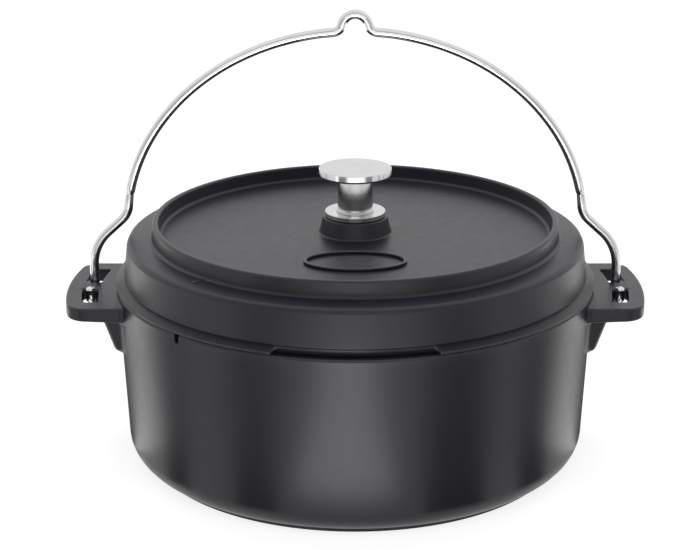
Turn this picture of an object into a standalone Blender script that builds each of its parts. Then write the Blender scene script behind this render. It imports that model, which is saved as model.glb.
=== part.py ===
"""Cast dutch oven: a round pot with two pierced lugs, a flanged tray lid, a steel knob and a wire bail.

Lengths are in metres. The origin is the centre of the base, +Z is up, the front is at -Y and the
lugs lie along X.
"""
import math

import bmesh
import bpy
from mathutils import Matrix, Vector

# General clearances and cutting allowances
SEAT_GAP = 0.0003
CUT_OVERRUN = 0.005
JOIN_DEPTH = 0.0008
WELD_DISTANCE = 0.00001

# Facet counts
TURN_STEPS = 72
SMALL_TURN_STEPS = 40
QUARTER_STEPS = 6
EDGE_QUARTER_STEPS = 2
EDGE_RADIUS_LIMIT = 0.0022
ARCH_STEPS = 24
HOOK_STEPS = 10
ROD_BEVEL_RESOLUTION = 3
ARC_OUTLINE_STEPS = 8

# Pot
POT_RIM_RADIUS = 0.1526
POT_HEIGHT = 0.1163
POT_WALL = 0.0055
POT_FLOOR = 0.0055
POT_TAPER_SHARE = 0.049
POT_CORNER_RADIUS = 0.016
POT_INNER_CORNER_RADIUS = 0.012
RIM_EDGE_RADIUS = 0.0013
FOOT_INSET = 0.0177
FOOT_HEIGHT = 0.0024
FOOT_BAND = 0.016
FOOT_RECESS = 0.0012
FOOT_EDGE_RADIUS = 0.0005

# Notch in the pot's rim for a probe cable, and the tick on the lid that marks it
NOTCH_ANGLE = math.radians(44)
NOTCH_WIDTH = 0.0045
NOTCH_BOTTOM_WIDTH = 0.003
NOTCH_DEPTH = 0.0052
TICK_LENGTH = 0.008
TICK_WIDTH = 0.003
TICK_HEIGHT = 0.0009
TICK_EDGE_RADIUS = 0.0006

# Lugs: a flat plate with a long window, crossed by a bar that the bail hooks round
LUG_REACH = 0.0325
LUG_HALF_LENGTH = 0.0475
LUG_DROP = 0.0063
LUG_THICKNESS = 0.0080
LUG_CORNER_RADIUS = 0.0095
LUG_EDGE_RADIUS = 0.0010
LUG_OUTER_BAND = 0.0098
WINDOW_WIDTH = 0.0110
WINDOW_HALF_LENGTH = 0.0330
WINDOW_CORNER_RADIUS = 0.0015
BRIDGE_WIDTH = 0.0150
BRIDGE_SHRINK = 0.0002
BRIDGE_EDGE_RADIUS = 0.0020
BRIDGE_EDGE_SEGMENTS = 3

# Gusset under each lug
GUSSET_REACH = 0.0088
GUSSET_FOOT_REACH = 0.0006
GUSSET_FOOT_DROP = 0.0243
GUSSET_SIDE_INSET = 0.0035
GUSSET_FACE_INSET = 0.0145
GUSSET_FOOT_DRAFT = 0.0020

# Lid
FLANGE_OVERHANG = 0.0006
FLANGE_WIDTH = 0.0054
FLANGE_EDGE_HEIGHT = 0.0020
FLANGE_ROOT_HEIGHT = 0.0042
FLANGE_EDGE_RADIUS = 0.0008
SKIRT_TAPER = 0.0022
SKIRT_BOTTOM_HEIGHT = 0.0050
SKIRT_UNDERCUT = 0.0006
SKIRT_EDGE_RADIUS = 0.0006
SHOULDER_WIDTH = 0.0166
SHOULDER_HEIGHT = 0.0280
SHOULDER_EDGE_RADIUS = 0.0050
SHOULDER_RISE = 0.0011
RING_WIDTH = 0.0036
RING_TOP_RADIUS = 0.0014
RING_FOOT_RADIUS = 0.0016
RING_DRAFT = 0.0008
TRAY_HEIGHT = 0.0300
TRAY_DEPTH = 0.0096
LID_THICKNESS = 0.0045
LID_INNER_CORNER_RADIUS = 0.0030
LIP_CLEARANCE = 0.0013
LIP_DEPTH = 0.0060
LIP_WIDTH = 0.0040
LIP_EDGE_RADIUS = 0.0008
LIFT_GAP_HALF_ANGLE = math.radians(18.5)
LIFT_GAP_BITE = 0.0002

# Bare oval frame cast on the lid's tray
OVAL_HALF_LENGTH = 0.0317
OVAL_HALF_WIDTH = 0.0188
OVAL_CENTER = 0.0641
OVAL_RIM = 0.0024
OVAL_HEIGHT = 0.0018
OVAL_SIDES = 48

# Knob, the boss of the lid that carries it, and the screw that holds it
BOSS_HEIGHT = 0.0107
BOSS_LEDGE = 0.0012
BOSS_DRAFT = 0.0026
BOSS_EDGE_RADIUS = 0.0010
BOSS_FOOT_RADIUS = 0.0012
KNOB_FLANGE_RADIUS = 0.0193
KNOB_FLANGE_THICKNESS = 0.0031
KNOB_FLANGE_DRAFT = 0.0015
KNOB_STEP_WIDTH = 0.0011
KNOB_STEP_HEIGHT = 0.0012
KNOB_STEM_RADIUS = 0.0113
KNOB_STEM_FILLET = 0.0012
KNOB_HEIGHT = 0.0311
KNOB_TOP_RADIUS = 0.0233
KNOB_TOP_THICKNESS = 0.0049
KNOB_TOP_DRAFT = 0.0012
KNOB_EDGE_RADIUS = 0.0004
SCREW_RADIUS = 0.0030
SCREW_LENGTH = 0.0300
SCREW_TIP_CHAMFER = 0.0008
SCREW_HEAD_RADIUS = 0.0058
SCREW_HEAD_HEIGHT = 0.0038
SCREW_HEAD_EDGE_RADIUS = 0.0015
SCREW_SOCKET_RADIUS = 0.0023
SCREW_SOCKET_DEPTH = 0.0022
SCREW_SOCKET_SIDES = 6
THREAD_CLEARANCE = 0.0003
THREAD_SPARE_DEPTH = 0.0020
LID_HOLE_CLEARANCE = 0.0005
WASHER_RADIUS = 0.0090
WASHER_THICKNESS = 0.0014
SPRING_WASHER_RADIUS = 0.0058
SPRING_WASHER_THICKNESS = 0.0016
SPRING_WASHER_SLIT = 0.0010

# Bail: one bent rod, hooked round the bar of each lug. Its heights are taken from the pivot.
ROD_RADIUS = 0.0030
HOOK_PLAY = 0.0009
HOOK_TIP_RISE = 0.0040
LEG_BEND_RISE = 0.0274
LEG_BEND_RADIUS = 0.0300
SHOULDER_BEND_RISE = 0.0486
SHOULDER_BEND_RADIUS = 0.0150
ARCH_INSET = 0.0227
ARCH_CENTER_RISE = 0.0406
ARCH_RISE = 0.1270
CREST_SLOPE = math.radians(74)
CREST_FOOT_RADIUS = 0.0060
CREST_FLAT = 0.0005
CREST_RADIUS = 0.0086

# Places worked out from the sizes above
SEAT_HEIGHT = POT_HEIGHT + SEAT_GAP
POT_INNER_RIM_RADIUS = POT_RIM_RADIUS - POT_WALL
FOOT_RADIUS = POT_RIM_RADIUS - FOOT_INSET
LUG_TOP = POT_HEIGHT - LUG_DROP
LUG_RADIUS = POT_RIM_RADIUS + LUG_REACH
WINDOW_OUTER_RADIUS = LUG_RADIUS - LUG_OUTER_BAND
WINDOW_INNER_RADIUS = WINDOW_OUTER_RADIUS - WINDOW_WIDTH
WINDOW_MIDDLE_RADIUS = WINDOW_OUTER_RADIUS - WINDOW_WIDTH / 2
FLANGE_RADIUS = POT_RIM_RADIUS + FLANGE_OVERHANG
SKIRT_BOTTOM_RADIUS = FLANGE_RADIUS - FLANGE_WIDTH
SKIRT_TOP_RADIUS = SKIRT_BOTTOM_RADIUS - SKIRT_TAPER
RING_RADIUS = SKIRT_TOP_RADIUS - SHOULDER_WIDTH
SHOULDER = SEAT_HEIGHT + SHOULDER_HEIGHT
TRAY_FLOOR = SEAT_HEIGHT + TRAY_HEIGHT
LID_UNDERSIDE = TRAY_FLOOR - LID_THICKNESS
BOSS_TOP = TRAY_FLOOR + BOSS_HEIGHT
BOSS_TOP_RADIUS = KNOB_FLANGE_RADIUS + BOSS_LEDGE
KNOB_FLOOR = BOSS_TOP + SEAT_GAP
WASHER_TOP = LID_UNDERSIDE - SEAT_GAP
SPRING_WASHER_TOP = WASHER_TOP - WASHER_THICKNESS - SEAT_GAP
SCREW_HEAD_TOP = SPRING_WASHER_TOP - SPRING_WASHER_THICKNESS - SEAT_GAP
HOLE_RADIUS = SCREW_RADIUS + LID_HOLE_CLEARANCE

# The hook's legs stand in the middle of the curved window's width
PIVOT_HEIGHT = LUG_TOP - LUG_THICKNESS / 2
HOOK_RADIUS = BRIDGE_WIDTH / 2 + HOOK_PLAY + ROD_RADIUS
PIVOT_SPREAD = math.sqrt(WINDOW_MIDDLE_RADIUS ** 2 - HOOK_RADIUS ** 2)
ARCH_HALF_WIDTH = PIVOT_SPREAD - ARCH_INSET
CREST_LEG = (CREST_RADIUS * math.tan(CREST_SLOPE) + CREST_FLAT
             + CREST_FOOT_RADIUS * math.tan(CREST_SLOPE / 2))
CREST_HALF_WIDTH = CREST_LEG * math.cos(CREST_SLOPE)


def clear_scene():
    """Remove what the scene holds, so that the model starts alone."""
    for scene_object in list(bpy.data.objects):
        bpy.data.objects.remove(scene_object, do_unlink=True)


def new_collection(name):
    """Add a collection to the scene."""
    collection = bpy.data.collections.new(name)
    bpy.context.scene.collection.children.link(collection)
    return collection


def new_material(name, color, roughness, metallic):
    """Make a plain material with the piece's own colour and gloss."""
    material = bpy.data.materials.new(name)
    material.use_nodes = True
    shader = material.node_tree.nodes["Principled BSDF"]
    shader.inputs["Base Color"].default_value = (*color, 1.0)
    shader.inputs["Roughness"].default_value = roughness
    shader.inputs["Metallic"].default_value = metallic
    return material


def half_angle_at(before, corner, after):
    """Half the angle between the two sides that meet at a corner."""
    return (before - corner).angle(after - corner) / 2


def arc_reaches(corners, places, closed):
    """How far each corner's arc reaches along its sides, kept within the sides' lengths."""
    count = len(places)
    reaches = []
    for index, corner in enumerate(corners):
        at_end = not closed and index in (0, count - 1)
        if at_end or corner[2] == 0:
            reaches.append(0)
            continue
        half_angle = half_angle_at(places[index - 1], places[index], places[(index + 1) % count])
        reaches.append(corner[2] / math.tan(half_angle))
    for index in range(count if closed else count - 1):
        following = (index + 1) % count
        side = (places[following] - places[index]).length
        total = reaches[index] + reaches[following]
        if total > side:
            reaches[index] *= side / total
            reaches[following] *= side / total
    return reaches


def corner_arc(before, corner, after, reach):
    """Points of the arc that rounds one corner of an outline."""
    into = (before - corner).normalized()
    away = (after - corner).normalized()
    half_angle = half_angle_at(before, corner, after)
    radius = reach * math.tan(half_angle)
    center = corner + (into + away).normalized() * (radius / math.sin(half_angle))
    first = corner + into * reach - center
    last = corner + away * reach - center
    turn = math.atan2(first.x * last.y - first.y * last.x, first.dot(last))
    per_quarter = EDGE_QUARTER_STEPS if radius <= EDGE_RADIUS_LIMIT else QUARTER_STEPS
    steps = max(1, math.ceil(abs(turn) / (math.pi / 2) * per_quarter))
    return [center + Matrix.Rotation(turn * step / steps, 2) @ first for step in range(steps + 1)]


def rounded(corners, closed):
    """Turn corners given as (x, y, radius) into the points of a rounded outline."""
    places = [Vector((corner[0], corner[1])) for corner in corners]
    reaches = arc_reaches(corners, places, closed)
    points = []
    for index, reach in enumerate(reaches):
        if reach == 0:
            points.append(places[index])
            continue
        after = places[(index + 1) % len(places)]
        points.extend(corner_arc(places[index - 1], places[index], after, reach))
    return points


def add_object(name, mesh, collection, material=None):
    """Put a mesh into a collection as a named object."""
    piece = bpy.data.objects.new(name, mesh)
    collection.objects.link(piece)
    if material is not None:
        mesh.materials.append(material)
    return piece


def make_tool(piece):
    """Mark an object as a cutter or a shape that is joined to another."""
    piece.hide_render = True
    piece.display_type = "WIRE"
    return piece


def turned(name, corners, closed, steps, collection, material=None):
    """Turn a rounded profile of (radius, height, edge radius) corners about the Z axis."""
    points = rounded(corners, closed)
    mesh = bpy.data.meshes.new(name)
    edges = [(index, index + 1) for index in range(len(points) - 1)]
    if closed:
        edges.append((len(points) - 1, 0))
    mesh.from_pydata([(point.x, 0, point.y) for point in points], edges, [])
    piece = add_object(name, mesh, collection, material)
    screw = piece.modifiers.new("turn", "SCREW")
    screw.axis = "Z"
    screw.angle = math.tau
    screw.steps = steps
    screw.render_steps = steps
    screw.use_smooth_shade = False
    screw.use_merge_vertices = True
    screw.merge_threshold = WELD_DISTANCE
    return piece


def curve_to_mesh(curve, name, collection):
    """Turn a curve object into a mesh object with its caps welded on."""
    depsgraph = bpy.context.evaluated_depsgraph_get()
    mesh = bpy.data.meshes.new_from_object(curve.evaluated_get(depsgraph))
    sheet = bmesh.new()
    sheet.from_mesh(mesh)
    bmesh.ops.remove_doubles(sheet, verts=sheet.verts, dist=WELD_DISTANCE)
    bmesh.ops.recalc_face_normals(sheet, faces=sheet.faces)
    sheet.to_mesh(mesh)
    sheet.free()
    mesh.name = name
    mesh.materials.clear()
    piece = add_object(name, mesh, collection)
    piece.matrix_world = curve.matrix_world.copy()
    bpy.data.objects.remove(curve, do_unlink=True)
    return piece


def new_curve(name, dimensions, route, closed):
    """Make the data of a curve that runs straight from point to point."""
    data = bpy.data.curves.new(name, "CURVE")
    data.dimensions = dimensions
    spline = data.splines.new("POLY")
    spline.points.add(len(route) - 1)
    for point, place in zip(spline.points, route):
        point.co = (*place.to_3d(), 1)
    spline.use_cyclic_u = closed
    return data


def slab(name, outline, thickness, edge_radius, place, collection):
    """Extrude a flat outline to both sides of its middle, with its edges rounded."""
    data = new_curve(name + "_outline", "2D", outline, True)
    data.fill_mode = "BOTH"
    data.extrude = thickness / 2 - edge_radius
    data.bevel_depth = edge_radius
    data.bevel_resolution = 1
    data.offset = -edge_radius
    curve = add_object(name + "_outline", data, collection)
    curve.matrix_world = place
    bpy.context.view_layer.update()
    return make_tool(curve_to_mesh(curve, name, collection))


def boolean(piece, tool, operation):
    """Join or cut a piece with a tool."""
    modifier = piece.modifiers.new(operation.lower() + "_" + tool.name, "BOOLEAN")
    modifier.operation = operation
    modifier.solver = "EXACT"
    modifier.object = tool


def arc_corners(radius, limit, corner_radius):
    """Corners of an arc about the pot's axis, through the angles from -limit to limit."""
    corners = []
    for step in range(ARC_OUTLINE_STEPS + 1):
        angle = limit * (2 * step / ARC_OUTLINE_STEPS - 1)
        edge = corner_radius if step in (0, ARC_OUTLINE_STEPS) else 0
        corners.append((radius * math.cos(angle), radius * math.sin(angle), edge))
    return corners


def band_outline(inner_radius, outer_radius, half_length, inner_corner, outer_corner):
    """Outline of a piece of a ring about the pot's axis, cut off square at both ends."""
    outer = arc_corners(outer_radius, math.asin(half_length / outer_radius), outer_corner)
    inner = arc_corners(inner_radius, math.asin(half_length / inner_radius), inner_corner)
    return rounded(outer + inner[::-1], True)


def box_mesh(name, size, place):
    """Mesh of a box of a given size."""
    mesh = bpy.data.meshes.new(name)
    shape = bmesh.new()
    bmesh.ops.create_cube(shape, size=1, matrix=place @ Matrix.Diagonal((*size, 1)))
    shape.to_mesh(mesh)
    shape.free()
    return mesh


def rounded_box(name, size, place, edge_radius, segments, collection):
    """Box of a given size with rounded edges."""
    box = add_object(name, box_mesh(name, size, Matrix()), collection)
    box.matrix_world = place
    bevel = box.modifiers.new("edges", "BEVEL")
    bevel.width = edge_radius
    bevel.segments = segments
    bevel.limit_method = "NONE"
    return make_tool(box)


def prism(name, sides, half_length, half_width, low, high, center_y, collection):
    """Upright prism with an oval outline of a given number of sides."""
    mesh = bpy.data.meshes.new(name)
    shape = bmesh.new()
    place = Matrix.Translation((0, center_y, (low + high) / 2))
    stretch = Matrix.Diagonal((half_length, half_width, high - low, 1))
    bmesh.ops.create_cone(shape, cap_ends=True, segments=sides, radius1=1, radius2=1, depth=1,
                          matrix=place @ stretch)
    shape.to_mesh(mesh)
    shape.free()
    return make_tool(add_object(name, mesh, collection))


def side_turn(side):
    """Half a turn about the Z axis for the left side of the pot, none for the right."""
    return Matrix.Rotation(0 if side == "right" else math.pi, 4, "Z")


def pot_wall_radius(height, rim_radius):
    """Radius of the tapered wall at a height, for the wall that meets the rim at rim_radius."""
    return rim_radius - POT_TAPER_SHARE * (POT_HEIGHT - height)


def pot_outer_corners():
    """Outer profile of the pot, from the centre of its top down to its recessed base."""
    foot_inner = FOOT_RADIUS - FOOT_BAND
    return [
        (0, POT_HEIGHT, 0),
        (POT_RIM_RADIUS, POT_HEIGHT, RIM_EDGE_RADIUS),
        (pot_wall_radius(FOOT_HEIGHT, POT_RIM_RADIUS), FOOT_HEIGHT, POT_CORNER_RADIUS),
        (FOOT_RADIUS, FOOT_HEIGHT, 0),
        (FOOT_RADIUS, 0, FOOT_EDGE_RADIUS),
        (foot_inner, 0, 0),
        (foot_inner - FOOT_RECESS, FOOT_RECESS, 0),
        (0, FOOT_RECESS, 0),
    ]


def pot_cavity_corners():
    """Profile of the space inside the pot, from above the rim down to the floor."""
    floor = FOOT_HEIGHT + POT_FLOOR
    inner_base = pot_wall_radius(floor, POT_INNER_RIM_RADIUS)
    return [
        (0, POT_HEIGHT + CUT_OVERRUN, 0),
        (POT_INNER_RIM_RADIUS + RIM_EDGE_RADIUS, POT_HEIGHT + CUT_OVERRUN, 0),
        (POT_INNER_RIM_RADIUS + RIM_EDGE_RADIUS, POT_HEIGHT, 0),
        (POT_INNER_RIM_RADIUS, POT_HEIGHT - RIM_EDGE_RADIUS, 0),
        (inner_base, floor, POT_INNER_CORNER_RADIUS),
        (0, floor, 0),
    ]


def lug_place(side):
    """Place of the middle of a lug's thickness, with the lug's own X pointing away from the pot."""
    return Matrix.Translation((0, 0, PIVOT_HEIGHT)) @ side_turn(side)


def lug_plate(side, collection):
    """Flat lug that stands out from the pot's wall."""
    root_radius = POT_RIM_RADIUS - POT_WALL / 2
    outline = band_outline(root_radius, LUG_RADIUS, LUG_HALF_LENGTH, 0, LUG_CORNER_RADIUS)
    return slab("lug_plate_" + side, outline, LUG_THICKNESS, LUG_EDGE_RADIUS, lug_place(side), collection)


def lug_window(side, collection):
    """Cutter for the long window in a lug."""
    corner = WINDOW_CORNER_RADIUS
    outline = band_outline(WINDOW_INNER_RADIUS, WINDOW_OUTER_RADIUS, WINDOW_HALF_LENGTH, corner, corner)
    depth = LUG_THICKNESS + 2 * CUT_OVERRUN
    return slab("lug_window_" + side, outline, depth, 0, lug_place(side), collection)


def lug_bridge(side, collection):
    """Bar across the middle of a lug's window."""
    length = WINDOW_WIDTH + 2 * BRIDGE_EDGE_RADIUS + 2 * JOIN_DEPTH
    size = (length, BRIDGE_WIDTH, LUG_THICKNESS - 2 * BRIDGE_SHRINK)
    place = lug_place(side) @ Matrix.Translation((WINDOW_MIDDLE_RADIUS, 0, 0))
    return rounded_box("lug_bridge_" + side, size, place, BRIDGE_EDGE_RADIUS, BRIDGE_EDGE_SEGMENTS,
                       collection)


def lug_gusset(side, collection):
    """Block with slanted faces that carries a lug from below."""
    top = JOIN_DEPTH - LUG_THICKNESS / 2
    foot = -LUG_THICKNESS / 2 - GUSSET_FOOT_DROP
    half_length = LUG_HALF_LENGTH - GUSSET_SIDE_INSET
    face_half_length = LUG_HALF_LENGTH - GUSSET_FACE_INSET
    root = math.sqrt(POT_INNER_RIM_RADIUS ** 2 - half_length ** 2)
    mesh = bpy.data.meshes.new("lug_gusset_" + side)
    shape = bmesh.new()
    for mirror in (-1, 1):
        shape.verts.new((root, mirror * half_length, top))
        shape.verts.new((root, mirror * (half_length - GUSSET_FOOT_DRAFT), foot))
        shape.verts.new((POT_RIM_RADIUS + GUSSET_REACH, mirror * face_half_length, top))
        shape.verts.new((POT_RIM_RADIUS - GUSSET_FOOT_REACH,
                         mirror * (face_half_length - GUSSET_FOOT_DRAFT), foot))
    bmesh.ops.convex_hull(shape, input=shape.verts)
    bmesh.ops.recalc_face_normals(shape, faces=shape.faces)
    shape.to_mesh(mesh)
    shape.free()
    gusset = add_object("lug_gusset_" + side, mesh, collection)
    gusset.matrix_world = lug_place(side)
    return make_tool(gusset)


def rim_notch(collection):
    """Cutter for the small notch in the pot's rim."""
    half_top = NOTCH_WIDTH / 2
    half_bottom = NOTCH_BOTTOM_WIDTH / 2
    corners = [
        (-half_top, CUT_OVERRUN, 0),
        (-half_top, -NOTCH_DEPTH / 2, 0),
        (-half_bottom, -NOTCH_DEPTH, half_bottom / 2),
        (half_bottom, -NOTCH_DEPTH, half_bottom / 2),
        (half_top, -NOTCH_DEPTH / 2, 0),
        (half_top, CUT_OVERRUN, 0),
    ]
    length = POT_WALL + 2 * CUT_OVERRUN
    middle = Matrix.Translation((0, POT_WALL / 2 - POT_RIM_RADIUS, POT_HEIGHT))
    place = Matrix.Rotation(-NOTCH_ANGLE, 4, "Z") @ middle @ Matrix.Rotation(math.pi / 2, 4, "X")
    return slab("rim_notch", rounded(corners, True), length, 0, place, collection)


def make_pot(parts, tools, material):
    """Pot casting: turned outside, two lugs on gussets, and the space inside cut out."""
    pot = turned("pot_body", pot_outer_corners(), False, TURN_STEPS, parts, material)
    cavity = make_tool(turned("pot_cavity", pot_cavity_corners(), False, TURN_STEPS, tools))
    for side in ("left", "right"):
        boolean(pot, lug_plate(side, tools), "UNION")
        boolean(pot, lug_gusset(side, tools), "UNION")
    boolean(pot, cavity, "DIFFERENCE")
    for side in ("left", "right"):
        boolean(pot, lug_window(side, tools), "DIFFERENCE")
        boolean(pot, lug_bridge(side, tools), "UNION")
    boolean(pot, rim_notch(tools), "DIFFERENCE")


def lid_corners():
    """Profile of the lid, from the screw hole over the boss, tray and skirt and back underneath."""
    ring_inner = RING_RADIUS - RING_WIDTH
    ring_top = TRAY_FLOOR + TRAY_DEPTH
    lip_outer = POT_INNER_RIM_RADIUS - LIP_CLEARANCE
    lip_inner = lip_outer - LIP_WIDTH
    lip_bottom = SEAT_HEIGHT - LIP_DEPTH
    return [
        (HOLE_RADIUS, BOSS_TOP, 0),
        (BOSS_TOP_RADIUS, BOSS_TOP, BOSS_EDGE_RADIUS),
        (BOSS_TOP_RADIUS + BOSS_DRAFT, TRAY_FLOOR, BOSS_FOOT_RADIUS),
        (ring_inner - RING_DRAFT, TRAY_FLOOR, RING_FOOT_RADIUS),
        (ring_inner, ring_top, RING_TOP_RADIUS),
        (RING_RADIUS, ring_top, RING_TOP_RADIUS),
        (RING_RADIUS + RING_DRAFT, SHOULDER + SHOULDER_RISE, RING_FOOT_RADIUS),
        (SKIRT_TOP_RADIUS, SHOULDER, SHOULDER_EDGE_RADIUS),
        (SKIRT_BOTTOM_RADIUS, SEAT_HEIGHT + SKIRT_BOTTOM_HEIGHT, SKIRT_EDGE_RADIUS),
        (SKIRT_BOTTOM_RADIUS - SKIRT_UNDERCUT, SEAT_HEIGHT + FLANGE_ROOT_HEIGHT, 0),
        (FLANGE_RADIUS, SEAT_HEIGHT + FLANGE_EDGE_HEIGHT, FLANGE_EDGE_RADIUS),
        (FLANGE_RADIUS, SEAT_HEIGHT, FLANGE_EDGE_RADIUS),
        (lip_outer, SEAT_HEIGHT, 0),
        (lip_outer, lip_bottom, LIP_EDGE_RADIUS),
        (lip_inner, lip_bottom, LIP_EDGE_RADIUS),
        (SKIRT_TOP_RADIUS - LID_THICKNESS, SHOULDER - LID_THICKNESS, LID_INNER_CORNER_RADIUS),
        (ring_inner, LID_UNDERSIDE, 0),
        (HOLE_RADIUS, LID_UNDERSIDE, 0),
    ]


def lift_gap(collection):
    """Cutter that takes the flange away at the front, where a lifter goes in."""
    outer = arc_corners(FLANGE_RADIUS + CUT_OVERRUN, LIFT_GAP_HALF_ANGLE, 0)
    inner = arc_corners(SKIRT_BOTTOM_RADIUS - LIFT_GAP_BITE, LIFT_GAP_HALF_ANGLE, 0)
    top = (FLANGE_ROOT_HEIGHT + SKIRT_BOTTOM_HEIGHT) / 2
    thickness = top + LIP_DEPTH / 2
    turn = Matrix.Rotation(-math.pi / 2, 4, "Z")
    place = Matrix.Translation((0, 0, SEAT_HEIGHT + top - thickness / 2)) @ turn
    return slab("lift_gap", rounded(outer + inner[::-1], True), thickness, 0, place, collection)


def oval_frame(collection):
    """Low oval frame that is joined to the tray."""
    top = TRAY_FLOOR + OVAL_HEIGHT
    frame = prism("oval_frame", OVAL_SIDES, OVAL_HALF_LENGTH, OVAL_HALF_WIDTH,
                  TRAY_FLOOR - JOIN_DEPTH, top, -OVAL_CENTER, collection)
    inside = prism("oval_inside", OVAL_SIDES, OVAL_HALF_LENGTH - OVAL_RIM, OVAL_HALF_WIDTH - OVAL_RIM,
                   TRAY_FLOOR - CUT_OVERRUN, top + CUT_OVERRUN, -OVAL_CENTER, collection)
    boolean(frame, inside, "DIFFERENCE")
    return frame


def lid_tick(collection):
    """Small raised tick on the shoulder, above the notch in the pot's rim."""
    middle_radius = (RING_RADIUS + RING_DRAFT + RING_FOOT_RADIUS + SKIRT_TOP_RADIUS) / 2
    size = (TICK_WIDTH, TICK_LENGTH, 2 * (SHOULDER_RISE + TICK_HEIGHT))
    middle = Matrix.Translation((0, -middle_radius, SHOULDER - SHOULDER_RISE / 2))
    place = Matrix.Rotation(-NOTCH_ANGLE, 4, "Z") @ middle
    return rounded_box("lid_tick", size, place, TICK_EDGE_RADIUS, 1, collection)


def make_lid(parts, tools, material):
    """Lid casting: tray with a boss and a raised ring, a skirt with a flange, and a centring lip."""
    lid = turned("lid", lid_corners(), True, TURN_STEPS, parts, material)
    boolean(lid, lift_gap(tools), "DIFFERENCE")
    boolean(lid, oval_frame(tools), "UNION")
    boolean(lid, lid_tick(tools), "UNION")


def make_knob(parts, material):
    """Turned knob: a flange, a step, a stem and a flat head, with a blind threaded hole below."""
    top = KNOB_FLOOR + KNOB_HEIGHT
    head_bottom = top - KNOB_TOP_THICKNESS
    flange_top = KNOB_FLOOR + KNOB_FLANGE_THICKNESS
    step_top = flange_top + KNOB_STEP_HEIGHT
    bore = SCREW_RADIUS + THREAD_CLEARANCE
    bore_top = SCREW_HEAD_TOP + SCREW_LENGTH + THREAD_SPARE_DEPTH
    corners = [
        (0, top, 0),
        (KNOB_TOP_RADIUS, top, KNOB_EDGE_RADIUS),
        (KNOB_TOP_RADIUS - KNOB_TOP_DRAFT, head_bottom, KNOB_EDGE_RADIUS),
        (KNOB_STEM_RADIUS, head_bottom, KNOB_STEM_FILLET),
        (KNOB_STEM_RADIUS, step_top, KNOB_EDGE_RADIUS),
        (KNOB_STEM_RADIUS + KNOB_STEP_WIDTH, step_top, KNOB_EDGE_RADIUS),
        (KNOB_STEM_RADIUS + KNOB_STEP_WIDTH, flange_top, 0),
        (KNOB_FLANGE_RADIUS, flange_top, KNOB_EDGE_RADIUS),
        (KNOB_FLANGE_RADIUS - KNOB_FLANGE_DRAFT, KNOB_FLOOR, 0),
        (bore, KNOB_FLOOR, 0),
        (bore, bore_top, 0),
        (0, bore_top + bore, 0),
    ]
    turned("knob", corners, False, SMALL_TURN_STEPS, parts, material)


def make_screw(parts, tools, material):
    """Screw that goes up through the lid and its boss into the knob."""
    tip = SCREW_HEAD_TOP + SCREW_LENGTH
    head_bottom = SCREW_HEAD_TOP - SCREW_HEAD_HEIGHT
    corners = [
        (0, tip, 0),
        (SCREW_RADIUS - SCREW_TIP_CHAMFER, tip, 0),
        (SCREW_RADIUS, tip - SCREW_TIP_CHAMFER, 0),
        (SCREW_RADIUS, SCREW_HEAD_TOP, 0),
        (SCREW_HEAD_RADIUS, SCREW_HEAD_TOP, 0),
        (SCREW_HEAD_RADIUS, head_bottom, SCREW_HEAD_EDGE_RADIUS),
        (0, head_bottom, 0),
    ]
    screw = turned("knob_screw", corners, False, SMALL_TURN_STEPS, parts, material)
    socket = prism("screw_socket", SCREW_SOCKET_SIDES, SCREW_SOCKET_RADIUS, SCREW_SOCKET_RADIUS,
                   head_bottom - CUT_OVERRUN, head_bottom + SCREW_SOCKET_DEPTH, 0, tools)
    boolean(screw, socket, "DIFFERENCE")


def washer_corners(outer_radius, top, thickness):
    """Profile of a flat ring round the screw."""
    return [
        (HOLE_RADIUS, top, 0),
        (outer_radius, top, 0),
        (outer_radius, top - thickness, 0),
        (HOLE_RADIUS, top - thickness, 0),
    ]


def make_washers(parts, tools, material):
    """Flat washer under the lid, and the split spring washer between it and the screw's head."""
    flat = washer_corners(WASHER_RADIUS, WASHER_TOP, WASHER_THICKNESS)
    turned("knob_washer", flat, True, SMALL_TURN_STEPS, parts, material)
    split = washer_corners(SPRING_WASHER_RADIUS, SPRING_WASHER_TOP, SPRING_WASHER_THICKNESS)
    ring = turned("knob_spring_washer", split, True, SMALL_TURN_STEPS, parts, material)
    size = (SPRING_WASHER_RADIUS + CUT_OVERRUN, SPRING_WASHER_SLIT, SPRING_WASHER_THICKNESS + CUT_OVERRUN)
    place = Matrix.Translation((size[0] / 2, 0, SPRING_WASHER_TOP - SPRING_WASHER_THICKNESS / 2))
    slit = make_tool(add_object("washer_slit", box_mesh("washer_slit", size, place), tools))
    boolean(ring, slit, "DIFFERENCE")


def hook_route():
    """Centre line of the right hook, from its tip round under the bar, as seen from the pivot."""
    points = [Vector((PIVOT_SPREAD, -HOOK_RADIUS, LUG_THICKNESS / 2 + HOOK_TIP_RISE))]
    for step in range(HOOK_STEPS + 1):
        angle = math.pi * step / HOOK_STEPS
        points.append(Vector((PIVOT_SPREAD, -HOOK_RADIUS * math.cos(angle), -HOOK_RADIUS * math.sin(angle))))
    return points


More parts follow.
